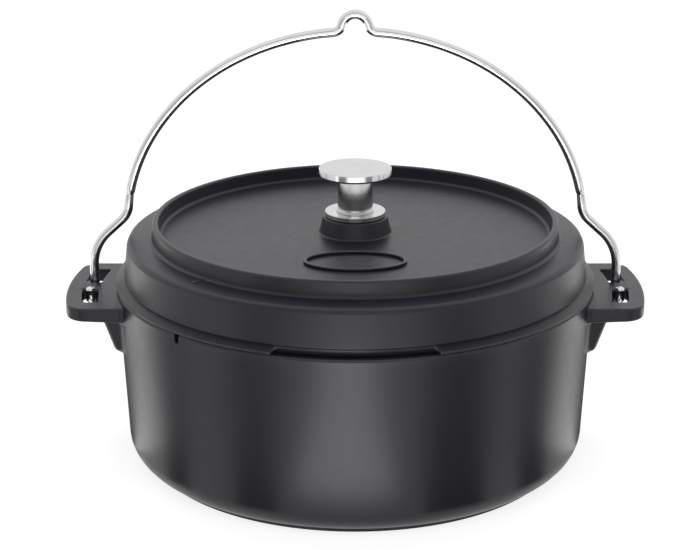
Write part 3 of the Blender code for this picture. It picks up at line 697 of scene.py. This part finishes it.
def lid_profile():
    """Outline of the lid's section, from the screw hole over the top and back underneath."""
    ring_inner = RING_RADIUS - RING_WIDTH
    ring_top = TRAY_FLOOR + TRAY_DEPTH
    lip_inner = LIP_OUTER - LIP_WIDTH
    underside = TRAY_FLOOR - LID_THICKNESS
    corners = [
        (SCREW_HOLE_RADIUS, BOSS_TOP, 0),
        (BOSS_TOP_RADIUS, BOSS_TOP, BOSS_EDGE_RADIUS),
        (BOSS_TOP_RADIUS + BOSS_DRAFT, TRAY_FLOOR, BOSS_FILLET_RADIUS),
        (ring_inner - RING_DRAFT, TRAY_FLOOR, RING_FILLET_RADIUS),
        (ring_inner, ring_top, RING_INNER_EDGE_RADIUS),
        (RING_RADIUS, ring_top, RING_OUTER_EDGE_RADIUS),
        (RING_RADIUS + RING_DRAFT, SHOULDER + SHOULDER_RISE, RING_FILLET_RADIUS),
        (SKIRT_TOP_RADIUS - SHOULDER_FALL_WIDTH, SHOULDER, SHOULDER_FALL_RADIUS),
        (SKIRT_TOP_RADIUS - SHOULDER_FACET_WIDTH, SHOULDER - SHOULDER_FACET_DROP, SHOULDER_FACET_RADIUS),
        (SKIRT_TOP_RADIUS, SHOULDER - SHOULDER_EDGE_DROP, SHOULDER_EDGE_RADIUS),
        (SKIRT_BOTTOM_RADIUS, SEAT_HEIGHT + SKIRT_FOOT_HEIGHT, SKIRT_FOOT_RADIUS),
        (SKIRT_BOTTOM_RADIUS - FLANGE_ROOT_UNDERCUT, SEAT_HEIGHT + FLANGE_ROOT_HEIGHT, FLANGE_ROOT_RADIUS),
        (FLANGE_RADIUS, SEAT_HEIGHT + FLANGE_EDGE_HEIGHT, FLANGE_EDGE_RADIUS),
        (FLANGE_RADIUS, SEAT_HEIGHT + FLANGE_CHAMFER, FLANGE_CHAMFER_RADIUS),
        (FLANGE_RADIUS - FLANGE_CHAMFER, SEAT_HEIGHT, FLANGE_CHAMFER_RADIUS),
        (LIP_OUTER, SEAT_HEIGHT, LIP_ROOT_RADIUS),
        (LIP_OUTER, SEAT_HEIGHT - LIP_DEPTH, LIP_EDGE_RADIUS),
        (lip_inner, SEAT_HEIGHT - LIP_DEPTH, LIP_EDGE_RADIUS),
        (SKIRT_TOP_RADIUS - LID_THICKNESS, SHOULDER - LID_THICKNESS, LID_INSIDE_FILLET_RADIUS),
        (ring_inner, underside, LID_UNDERSIDE_FILLET_RADIUS),
        (SCREW_HOLE_RADIUS, underside, 0),
    ]
    return split_long(rounded(corners, True), True, LID_LONGEST_RUN)


def gap_bend(profile, azimuth):
    """Take the flange away in the columns at the front, and undercut the skirt there."""
    share = smooth_step((GAP_HALF_ANGLE - abs(azimuth)) / GAP_END_ANGLE + 0.5)
    bent = profile.copy()
    radius, height = bent.T
    rise = np.clip((height - SEAT_HEIGHT) / GAP_HEIGHT, 0, 1)
    root = SKIRT_BOTTOM_RADIUS - GAP_BITE - GAP_UNDERCUT * (1 - rise)
    low = (height < SEAT_HEIGHT + GAP_HEIGHT) & (radius > root)
    bent[low, 0] = radius[low] + (root[low] - radius[low]) * share
    return bent


def gap_azimuths():
    """Azimuths that give the flange's ends their round shape."""
    shares = [part / GAP_END_STEPS - 0.5 for part in range(GAP_END_STEPS + 1)]
    places = [GAP_HALF_ANGLE + GAP_END_ANGLE * share for share in shares]
    return [sign * place for sign in (-1, 1) for place in places]


def make_oval():
    """Low oval frame on the tray, with rounded edges."""
    section = rounded([
        (0, -OVAL_SINK, 0),
        (OVAL_DRAFT, OVAL_HEIGHT, OVAL_EDGE_RADIUS),
        (OVAL_RIM - OVAL_DRAFT, OVAL_HEIGHT, OVAL_EDGE_RADIUS),
        (OVAL_RIM, -OVAL_SINK, 0),
    ], True, OVAL_QUARTER_STEPS)
    inset, height = section.T
    columns = []
    for step in range(OVAL_STEPS):
        angle = math.tau * step / OVAL_STEPS
        columns.append(np.stack([
            (OVAL_HALF_LENGTH - inset) * math.cos(angle),
            (OVAL_HALF_WIDTH - inset) * math.sin(angle) - OVAL_CENTER,
            height + TRAY_FLOOR,
        ], 1))
    return mesh_object("oval", np.concatenate(columns), ring_faces(OVAL_STEPS, len(section), True))


def make_tick():
    """Small raised tick on the shoulder, over the notch in the rim."""
    mesh = bpy.data.meshes.new("tick")
    sheet = bmesh.new()
    bmesh.ops.create_cube(sheet, size=1, matrix=Matrix.Diagonal((*TICK_SIZE, 1)))
    bmesh.ops.bevel(sheet, geom=sheet.edges[:], offset=TICK_EDGE_RADIUS, segments=TICK_EDGE_STEPS,
                    profile=0.5, affect="EDGES")
    sheet.to_mesh(mesh)
    sheet.free()
    tick = add_object("tick", mesh)
    middle = RING_RADIUS + RING_DRAFT + TICK_SIZE[1] / 2
    top = SHOULDER + SHOULDER_RISE * TICK_SLOPE_SHARE + TICK_HEIGHT
    place = Matrix.Translation((0, -middle, top - TICK_SIZE[2] / 2))
    tick.matrix_basis = Matrix.Rotation(NOTCH_AZIMUTH, 4, "Z") @ place
    return tick


def make_lid():
    """Lid casting: tray, boss, ring, skirt and flange, with the oval frame and the tick."""
    azimuths = even_azimuths(TURN_STEPS, gap_azimuths())
    shell = turned("lid_shell", lid_profile(), azimuths, True, gap_bend)
    lid = join("lid_casting", [shell, make_oval(), make_tick()])
    flat_normals(lid)
    return lid


def knob_profile():
    """Outline of the knob's section, from the middle of its top to its blind hole."""
    head_bottom = KNOB_TOP - KNOB_HEAD_THICKNESS
    flange_top = KNOB_BOTTOM + KNOB_FLANGE_THICKNESS
    step_top = flange_top + KNOB_STEP_HEIGHT
    step_radius = KNOB_STEM_RADIUS + KNOB_STEP_WIDTH
    stem_height = head_bottom - step_top
    shares = [step / STEM_STEPS for step in range(STEM_STEPS - 1, 0, -1)]
    stem = [(KNOB_STEM_RADIUS - KNOB_STEM_TAPER * share ** 2, step_top + stem_height * share, 0)
            for share in shares]
    corners = [
        (0, KNOB_TOP, 0),
        (KNOB_TOP_RADIUS - KNOB_HEAD_TILT, KNOB_TOP, KNOB_HEAD_EDGE_RADIUS),
        (KNOB_TOP_RADIUS, KNOB_TOP - KNOB_HEAD_THICKNESS * KNOB_HEAD_SIDE_SHARE, KNOB_HEAD_EDGE_RADIUS),
        (KNOB_TOP_RADIUS - KNOB_HEAD_DRAFT, head_bottom, KNOB_HEAD_UNDER_RADIUS),
        (KNOB_STEM_RADIUS - KNOB_STEM_TAPER, head_bottom, KNOB_STEM_FILLET_RADIUS),
        *stem,
        (KNOB_STEM_RADIUS, step_top, KNOB_STEP_FILLET_RADIUS),
        (step_radius, step_top, KNOB_STEP_EDGE_RADIUS),
        (step_radius - KNOB_STEP_UNDERCUT, flange_top, KNOB_FINE_EDGE_RADIUS),
        (KNOB_FLANGE_RADIUS, flange_top, KNOB_FLANGE_EDGE_RADIUS),
        (KNOB_FLANGE_RADIUS, KNOB_BOTTOM + KNOB_FLANGE_CHAMFER, KNOB_FINE_EDGE_RADIUS),
        (KNOB_FLANGE_RADIUS - KNOB_FLANGE_CHAMFER, KNOB_BOTTOM, KNOB_FINE_EDGE_RADIUS),
        (KNOB_BORE_RADIUS, KNOB_BOTTOM, KNOB_BORE_EDGE_RADIUS),
        (KNOB_BORE_RADIUS, KNOB_BOTTOM + KNOB_BORE_DEPTH, 0),
        (0, KNOB_BOTTOM + KNOB_BORE_DEPTH + KNOB_BORE_RADIUS, 0),
    ]
    return split_long(rounded(corners, False), False, KNOB_LONGEST_RUN)


def make_knob():
    """Turned steel knob."""
    knob = turned("knob_turned", knob_profile(), even_azimuths(KNOB_TURN_STEPS), False)
    flat_normals(knob)
    return knob


def bail_route():
    """Centre line of the bail from the tip of one hook to the tip of the other."""
    hook = [(PIVOT_SPREAD, -HOOK_RADIUS, LUG_THICKNESS / 2 + HOOK_TIP_RISE),
            (PIVOT_SPREAD, -HOOK_RADIUS, HOOK_TIP_RISE / 2)]
    steps = round(math.pi / ROD_STEP / 2)
    for step in range(steps + 1):
        angle = math.pi * step / steps
        hook.append((PIVOT_SPREAD, -HOOK_RADIUS * math.cos(angle), -HOOK_RADIUS * math.sin(angle)))
    crest_leg = (CREST_RADIUS * math.tan(CREST_SLOPE) + CREST_FLAT
                 + CREST_FOOT_RADIUS * math.tan(CREST_SLOPE / 2))
    crest_half_width = crest_leg * math.cos(CREST_SLOPE)
    first = math.asin((SHOULDER_BEND_RISE - ARCH_CENTER_RISE) / ARCH_RISE)
    last = math.acos(crest_half_width / ARCH_HALF_WIDTH)
    right = [(PIVOT_SPREAD, 0, 0), (PIVOT_SPREAD, LEG_BEND_RISE, LEG_BEND_RADIUS)]
    inner_angles = np.linspace(first + ARCH_START_SPAN, last - ARCH_END_SPAN, ARCH_STEPS + 1)
    angles = [first, *inner_angles, last]
    for index, angle in enumerate(angles):
        edge = {0: SHOULDER_BEND_RADIUS, len(angles) - 1: CREST_FOOT_RADIUS}.get(index, 0)
        height = ARCH_CENTER_RISE + ARCH_RISE * math.sin(angle)
        right.append((ARCH_HALF_WIDTH * math.cos(angle), height, edge))
    apex = right[-1][1] + crest_half_width * math.tan(CREST_SLOPE)
    left = [(-across, height, edge) for across, height, edge in right[::-1]]
    outline = rounded(right + [(0, apex, CREST_RADIUS)] + left, False, round(math.pi / 2 / ROD_STEP))
    arch = [(across, HOOK_RADIUS, height) for across, height in outline]
    other_hook = [(-across, forward, height) for across, forward, height in hook[::-1]]
    route = np.array(hook[:-1] + arch + other_hook[1:]) + (0, 0, LUG_MIDDLE)
    steps = np.linalg.norm(np.diff(route, axis=0), axis=1)
    return route[np.concatenate([[True], steps > WELD])]


def rod(name, route, radii, end_radius):
    """Round rod along a route, with a radius for each point and softened ends."""
    tangents = np.gradient(route, axis=0)
    tangents /= np.linalg.norm(tangents, axis=1)[:, None]
    side = np.array([1.0, 0.0, 0.0])
    frames = []
    for tangent in tangents:
        side = side - tangent * np.dot(side, tangent)
        side /= np.linalg.norm(side)
        frames.append((side, np.cross(tangent, side)))
    last = len(route) - 1
    quarter = [math.pi / 2 * step / ROD_END_STEPS for step in range(ROD_END_STEPS + 1)]
    start = [(0, end_radius * (1 - math.cos(angle)), radii[0] - end_radius * (1 - math.sin(angle)))
             for angle in quarter]
    end = [(last, -shift, radius) for _, shift, radius in start[::-1]]
    rings = start + [(index, 0, radii[index]) for index in range(1, last)] + end
    vertices = [route[0]]
    turns = [math.tau * step / ROD_SIDES for step in range(ROD_SIDES)]
    for index, shift, radius in rings:
        first, second = frames[index]
        center = route[index] + tangents[index] * shift
        for turn in turns:
            vertices.append(center + radius * (first * math.cos(turn) + second * math.sin(turn)))
    vertices.append(route[-1])
    base = 1 + (len(rings) - 1) * ROD_SIDES
    faces = []
    for side_index in range(ROD_SIDES):
        following = (side_index + 1) % ROD_SIDES
        faces.append((0, 1 + side_index, 1 + following))
        faces.append((base + side_index, len(vertices) - 1, base + following))
        for ring in range(len(rings) - 1):
            low = 1 + ring * ROD_SIDES
            high = low + ROD_SIDES
            faces.append((low + side_index, high + side_index, high + following, low + following))
    return mesh_object(name, vertices, faces)


def make_bail():
    """Bail bent from one steel rod, with two small pinches on each leg."""
    route = bail_route()
    pinch = np.zeros(len(route))
    for rise in PINCH_RISES:
        pinch += np.exp(-((route[:, 2] - LUG_MIDDLE - rise) / PINCH_LENGTH) ** 2)
    return rod("bail_rod", route, ROD_RADIUS * (1 - PINCH_SHARE * pinch), ROD_END_RADIUS)


def mark_edges(piece):
    """Store how far each vertex stands out from its neighbours, for the wear and the painted highlight
    along edges.
    """
    mesh = piece.data
    places = np.empty(len(mesh.vertices) * 3)
    mesh.vertices.foreach_get("co", places)
    places = places.reshape(-1, 3)
    normals = np.empty(len(mesh.vertices) * 3)
    mesh.vertex_normals.foreach_get("vector", normals)
    normals = normals.reshape(-1, 3)
    ends = np.empty(len(mesh.edges) * 2, dtype=int)
    mesh.edges.foreach_get("vertices", ends)
    ends = ends.reshape(-1, 2)
    total = np.zeros(len(places))
    count = np.zeros(len(places))
    for first, second in ((0, 1), (1, 0)):
        here = ends[:, first]
        step = places[here] - places[ends[:, second]]
        length = np.maximum(np.linalg.norm(step, axis=1), WELD)
        rise = (step * normals[here]).sum(1) / length ** 2
        np.add.at(total, here, rise)
        np.add.at(count, here, 1)
    bend = total / np.maximum(count, 1)
    # Share of lighter edge colour: partly wear, partly a painted highlight
    wear_and_sheen = np.clip((bend - WEAR_AND_SHEEN_START) / WEAR_AND_SHEEN_SPREAD, 0, 1)
    attribute = mesh.attributes.new("wear_and_sheen", "FLOAT", "POINT")
    attribute.data.foreach_set("value", wear_and_sheen)


def add_node(tree, kind, **settings):
    """Add a shader node with its settings."""
    node = tree.nodes.new(kind)
    for name, value in settings.items():
        setattr(node, name, value)
    return node


def noise(tree, vector, scale, detail=CLOUD_DETAIL, roughness=NOISE_ROUGHNESS):
    """Add a noise texture that reads a vector."""
    texture = add_node(tree, "ShaderNodeTexNoise")
    texture.inputs["Scale"].default_value = scale
    texture.inputs["Detail"].default_value = detail
    texture.inputs["Roughness"].default_value = roughness
    tree.links.new(vector, texture.inputs["Vector"])
    return texture.outputs["Fac"]


def spread(tree, value, low, high, source=NOISE_RANGE):
    """Spread a value over a new range."""
    mapping = add_node(tree, "ShaderNodeMapRange")
    mapping.inputs["From Min"].default_value = source[0]
    mapping.inputs["From Max"].default_value = source[1]
    mapping.inputs["To Min"].default_value = low
    mapping.inputs["To Max"].default_value = high
    tree.links.new(value, mapping.inputs["Value"])
    return mapping.outputs["Result"]


def blend_colors(tree, share, first, second):
    """Mix two colours, given or linked, by a share."""
    mix = add_node(tree, "ShaderNodeMix", data_type="RGBA")
    tree.links.new(share, mix.inputs["Factor"])
    sockets = [socket for socket in mix.inputs if socket.type == "RGBA"]
    for socket, color in zip(sockets, (first, second)):
        if isinstance(color, tuple):
            socket.default_value = (*color, 1)
        else:
            tree.links.new(color, socket)
    return [output for output in mix.outputs if output.type == "RGBA"][0]


def bump(tree, height, size, normal=None):
    """Add a bump of a (height, strength) size that may lie on another."""
    distance, strength = size
    node = add_node(tree, "ShaderNodeBump")
    node.inputs["Strength"].default_value = strength
    node.inputs["Distance"].default_value = distance
    tree.links.new(height, node.inputs["Height"])
    if normal is not None:
        tree.links.new(normal, node.inputs["Normal"])
    return node.outputs["Normal"]


def new_material(name):
    """Make a material and return it with its tree and its shader."""
    material = bpy.data.materials.new(name)
    material.use_nodes = True
    tree = material.node_tree
    return material, tree, tree.nodes["Principled BSDF"]


def math_node(tree, operation, first, second):
    """Add a math node for two values, given or linked."""
    node = add_node(tree, "ShaderNodeMath", operation=operation)
    for socket, value in zip(node.inputs, (first, second)):
        if isinstance(value, (int, float)):
            socket.default_value = value
        else:
            tree.links.new(value, socket)
    return node.outputs[0]


def iron_material(name):
    """Satin black cast iron: fine casting grain, slow tone changes, and edges painted lighter, partly as
    rubbed iron and partly as a painted highlight.
    """
    material, tree, shader = new_material(name)
    place = add_node(tree, "ShaderNodeTexCoord").outputs["Object"]
    cloud = noise(tree, place, IRON_CLOUD_SCALE)
    patch = noise(tree, place, IRON_PATCH_SCALE)
    grain = noise(tree, place, IRON_GRAIN_SCALE, roughness=GRAIN_ROUGHNESS)
    tone = blend_colors(tree, spread(tree, cloud, 0, 1), IRON_DARK, IRON_LIGHT)
    wear_and_sheen = add_node(tree, "ShaderNodeAttribute", attribute_name="wear_and_sheen").outputs["Fac"]
    # Edges that stand out get a lighter colour and less roughness: partly wear, partly a painted highlight
    rubbed_and_sheen = math_node(tree, "MULTIPLY", wear_and_sheen, spread(tree, patch, *IRON_RUBBED_AND_SHEEN_SHARES))
    color = blend_colors(tree, rubbed_and_sheen, tone, IRON_RUBBED_AND_SHEEN)
    tree.links.new(color, shader.inputs["Base Color"])
    smoothing = math_node(tree, "MULTIPLY", rubbed_and_sheen, IRON_RUBBED_SMOOTHING)
    roughness = math_node(tree, "SUBTRACT", spread(tree, patch, *IRON_ROUGHNESS), smoothing)
    tree.links.new(roughness, shader.inputs["Roughness"])
    shader.inputs["Specular IOR Level"].default_value = IRON_REFLECTION
    soft = bump(tree, patch, IRON_PATCH_BUMP)
    fine = bump(tree, grain, IRON_GRAIN_BUMP, soft)
    tree.links.new(fine, shader.inputs["Normal"])
    return material


def turned_steel(name, color, roughness):
    """Turned steel with the fine circular marks of the lathe."""
    material, tree, shader = new_material(name)
    place = add_node(tree, "ShaderNodeTexCoord").outputs["Object"]
    flat = add_node(tree, "ShaderNodeVectorMath", operation="MULTIPLY")
    flat.inputs[1].default_value = (1, 1, 0)
    tree.links.new(place, flat.inputs[0])
    length = add_node(tree, "ShaderNodeVectorMath", operation="LENGTH")
    tree.links.new(flat.outputs[0], length.inputs[0])
    parts = add_node(tree, "ShaderNodeSeparateXYZ")
    tree.links.new(place, parts.inputs[0])
    across = add_node(tree, "ShaderNodeCombineXYZ")
    tree.links.new(length.outputs["Value"], across.inputs["X"])
    tree.links.new(parts.outputs["Z"], across.inputs["Z"])
    marks = noise(tree, across.outputs[0], TURNED_MARK_SCALE, MARK_DETAIL, GRAIN_ROUGHNESS)
    haze = noise(tree, place, TURNED_HAZE_SCALE)
    hazy = tuple(part * TURNED_HAZE_SHARE for part in color)
    tree.links.new(blend_colors(tree, spread(tree, haze, 0, 1), color, hazy), shader.inputs["Base Color"])
    shader.inputs["Metallic"].default_value = 1
    marked = spread(tree, marks, *roughness)
    clouded = spread(tree, haze, *TURNED_HAZE_ROUGHNESS)
    tree.links.new(math_node(tree, "ADD", marked, clouded), shader.inputs["Roughness"])
    tree.links.new(bump(tree, marks, TURNED_MARK_BUMP), shader.inputs["Normal"])
    return material


def rod_steel(name, color, roughness):
    """Drawn and polished steel with faint scuffs."""
    material, tree, shader = new_material(name)
    place = add_node(tree, "ShaderNodeTexCoord").outputs["Object"]
    haze = noise(tree, place, ROD_HAZE_SCALE)
    scuffs = noise(tree, place, ROD_SCUFF_SCALE, MARK_DETAIL)
    hazy = tuple(part * ROD_HAZE_SHARE for part in color)
    tree.links.new(blend_colors(tree, spread(tree, haze, 0, 1), color, hazy), shader.inputs["Base Color"])
    shader.inputs["Metallic"].default_value = 1
    tree.links.new(spread(tree, haze, *roughness), shader.inputs["Roughness"])
    tree.links.new(bump(tree, scuffs, ROD_SCUFF_BUMP), shader.inputs["Normal"])
    return material


def finish_piece(piece, body, material, nodes):
    """Give a piece its material, its body and the CAD nodes that it stands for."""
    piece.data.materials.clear()
    piece.data.materials.append(material)
    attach(piece, body)
    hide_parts(*nodes)


def seen_share(tree, strength):
    """Strength for rays from the camera, mirrors and glass, and none for the rest."""
    path = add_node(tree, "ShaderNodeLightPath")
    seen = math_node(tree, "MAXIMUM", path.outputs["Is Camera Ray"], path.outputs["Is Glossy Ray"])
    seen = math_node(tree, "MAXIMUM", seen, path.outputs["Is Transmission Ray"])
    return math_node(tree, "MULTIPLY", seen, strength)


def make_floor():
    """Plain white floor that the camera and mirrors see as white, but for the pot's shadow."""
    mesh = bpy.data.meshes.new("floor")
    corners = [(-1, -1), (1, -1), (1, 1), (-1, 1)]
    places = [(across * FLOOR_HALF_SIZE, forward * FLOOR_HALF_SIZE, 0) for across, forward in corners]
    mesh.from_pydata(places, [], [range(len(places))])
    material, tree, shader = new_material("floor_paint")
    shader.inputs["Base Color"].default_value = (FLOOR_TONE, FLOOR_TONE, FLOOR_TONE, 1)
    shader.inputs["Roughness"].default_value = MATT
    shader.inputs["Specular IOR Level"].default_value = 0
    shader.inputs["Emission Color"].default_value = (1, 1, 1, 1)
    tree.links.new(seen_share(tree, FLOOR_GLOW), shader.inputs["Emission Strength"])
    mesh.materials.append(material)
    floor = add_object("floor", mesh)


def make_world():
    """Room that is white to the camera, darker in front to mirrors, and a grey fill for the rest."""
    world = bpy.data.worlds.new("studio")
    bpy.context.scene.world = world
    world.use_nodes = True
    tree = world.node_tree
    background = tree.nodes["Background"]
    background.inputs["Color"].default_value = (1, 1, 1, 1)
    direction = add_node(tree, "ShaderNodeVectorMath", operation="DOT_PRODUCT")
    direction.inputs[1].default_value = BRIGHT_SIDE
    tree.links.new(add_node(tree, "ShaderNodeTexCoord").outputs["Generated"], direction.inputs[0])
    mirror_tone = spread(tree, direction.outputs["Value"], ROOM_TONE, 1, BRIGHT_SPREAD)
    path = add_node(tree, "ShaderNodeLightPath")
    seen = math_node(tree, "MAXIMUM", path.outputs["Is Glossy Ray"], path.outputs["Is Transmission Ray"])
    mirrored = math_node(tree, "MULTIPLY", seen, mirror_tone)
    unseen = math_node(tree, "SUBTRACT", 1, math_node(tree, "MAXIMUM", seen, path.outputs["Is Camera Ray"]))
    filled = math_node(tree, "MULTIPLY", unseen, WORLD_FILL)
    total = math_node(tree, "ADD", math_node(tree, "ADD", mirrored, filled), path.outputs["Is Camera Ray"])
    tree.links.new(total, background.inputs["Strength"])


def add_panel(name, place, turn, size, power):
    """Add a rectangular light."""
    data = bpy.data.lights.new(name, "AREA")
    data.shape = "RECTANGLE"
    data.size = size[0]
    data.size_y = size[1]
    data.energy = power
    lamp = add_object(name, data)
    lamp.location = place
    lamp.rotation_euler = turn
    return lamp


def floor_spot(azimuth, distance):
    """Point on the floor at an azimuth and a distance from the pot's axis."""
    angle = math.radians(azimuth)
    return distance * math.sin(angle), -distance * math.cos(angle)


def mirrored_spot(azimuth, distance):
    """Point on the floor that the pot's wall mirrors at an azimuth, at a distance from the wall."""
    wall = floor_spot(azimuth, MIRROR_RADIUS)
    reach = floor_spot(azimuth * 2, distance)
    return wall[0] + reach[0], wall[1] + reach[1]


def add_floor_panel(name, first, last, width, radiance):
    """Add a panel of light that lies on the floor from one point to another and faces up."""
    across = last[0] - first[0]
    along = last[1] - first[1]
    length = math.hypot(across, along)
    middle = ((first[0] + last[0]) / 2, (first[1] + last[1]) / 2)
    power = radiance * math.pi * width * length
    turn = (math.pi, 0, math.atan2(across, -along))
    lamp = add_panel(name, (*middle, CARD_LIFT * 2), turn, (width, length), power)
    lamp.visible_camera = False


def add_card(name, spot, azimuths, reaches, tone):
    """Add a grey card on the floor, between two azimuths and two distances, that only mirrors see."""
    start, end = azimuths
    vertices = []
    for step in range(CARD_STEPS + 1):
        azimuth = start + (end - start) * step / CARD_STEPS
        vertices += [(*spot(azimuth, reach), CARD_LIFT) for reach in reaches]
    faces = [(2 * step, 2 * step + 1, 2 * step + 3, 2 * step + 2) for step in range(CARD_STEPS)]
    mesh = bpy.data.meshes.new(name)
    mesh.from_pydata(vertices, [], faces)
    card = add_object(name, mesh)
    material, tree, shader = new_material(name)
    shader.inputs["Base Color"].default_value = (tone, tone, tone, 1)
    shader.inputs["Roughness"].default_value = MATT
    mesh.materials.append(material)
    card.visible_camera = False
    card.visible_diffuse = False
    card.visible_shadow = False


def make_lights():
    """Soft studio light from above, with panels and grey cards on the floor that draw the gloss."""
    for name, place, target, size, power, mirrored in UPPER_PANELS:
        turn = (Vector(target) - Vector(place)).to_track_quat("-Z", "Y").to_euler()
        lamp = add_panel(name, place, turn, size, power)
        lamp.visible_glossy = mirrored
    for name, azimuth, nearest, farthest, width, radiance in FLOOR_PANELS:
        add_floor_panel(name, floor_spot(azimuth, nearest), floor_spot(azimuth, farthest), width, radiance)
    for side, sign in (("left", -1), ("right", 1)):
        start, middle, end = [mirrored_spot(sign * azimuth, distance)
                              for azimuth, distance in (SIDE_START, SIDE_MIDDLE, SIDE_END)]
        add_floor_panel("panel_body_" + side, start, middle, *SIDE_BODY_PANEL)
        add_floor_panel("panel_skirt_" + side, middle, end, *SIDE_SKIRT_PANEL)
        azimuths = [sign * azimuth for azimuth in SIDE_EDGE_AZIMUTHS]
        add_card("card_edge_" + side, mirrored_spot, azimuths, NEAR_REACH, SIDE_EDGE_TONE)
    for name, first, last, tone in NEAR_CARDS:
        add_card(name, mirrored_spot, (first, last), NEAR_REACH, tone)
    for name, first, last, tone in FAR_CARDS:
        add_card(name, floor_spot, (first, last), FAR_REACH, tone)


def make_camera():
    """Camera at the photograph's viewing angle."""
    data = bpy.data.cameras.new("camera")
    data.sensor_width = SENSOR_WIDTH
    data.lens = FOCAL_PIXELS / PHOTO_WIDTH * SENSOR_WIDTH
    data.shift_x = (PHOTO_WIDTH / 2 - CENTER_PIXEL) / PHOTO_WIDTH
    camera = add_object("camera", data)
    camera.location = CAMERA_PLACE
    camera.rotation_euler = (math.pi / 2 - CAMERA_TILT, 0, 0)
    bpy.context.scene.camera = camera


def dress_nodes(material, names):
    """Give CAD nodes that stay as they are a finished material."""
    for name in names:
        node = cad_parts[name]
        for slot in node.material_slots:
            slot.material = material


def main():
    """Dress the model and light it."""
    bpy.context.scene.view_settings.view_transform = "Standard"
    pot = make_pot()
    lid = make_lid()
    knob = make_knob()
    bail = make_bail()
    for piece in (pot, lid):
        mark_edges(piece)
    finish_piece(pot, "pot", iron_material("pot_iron_skin"), ["pot_body"])
    finish_piece(lid, "lid", iron_material("lid_iron_skin"), ["lid"])
    turned_skin = turned_steel("knob_polished", KNOB_COLOR, KNOB_ROUGHNESS)
    finish_piece(knob, "lid", turned_skin, ["knob"])
    rod_skin = rod_steel("bail_polished", ROD_COLOR, ROD_ROUGHNESS)
    finish_piece(bail, "bail", rod_skin, ["bail"])
    zinc = turned_steel("zinc_plate", ZINC_COLOR, ZINC_ROUGHNESS)
    dress_nodes(zinc, ["knob_screw", "knob_washer", "knob_spring_washer"])
    make_floor()
    make_world()
    make_lights()
    make_camera()


main()
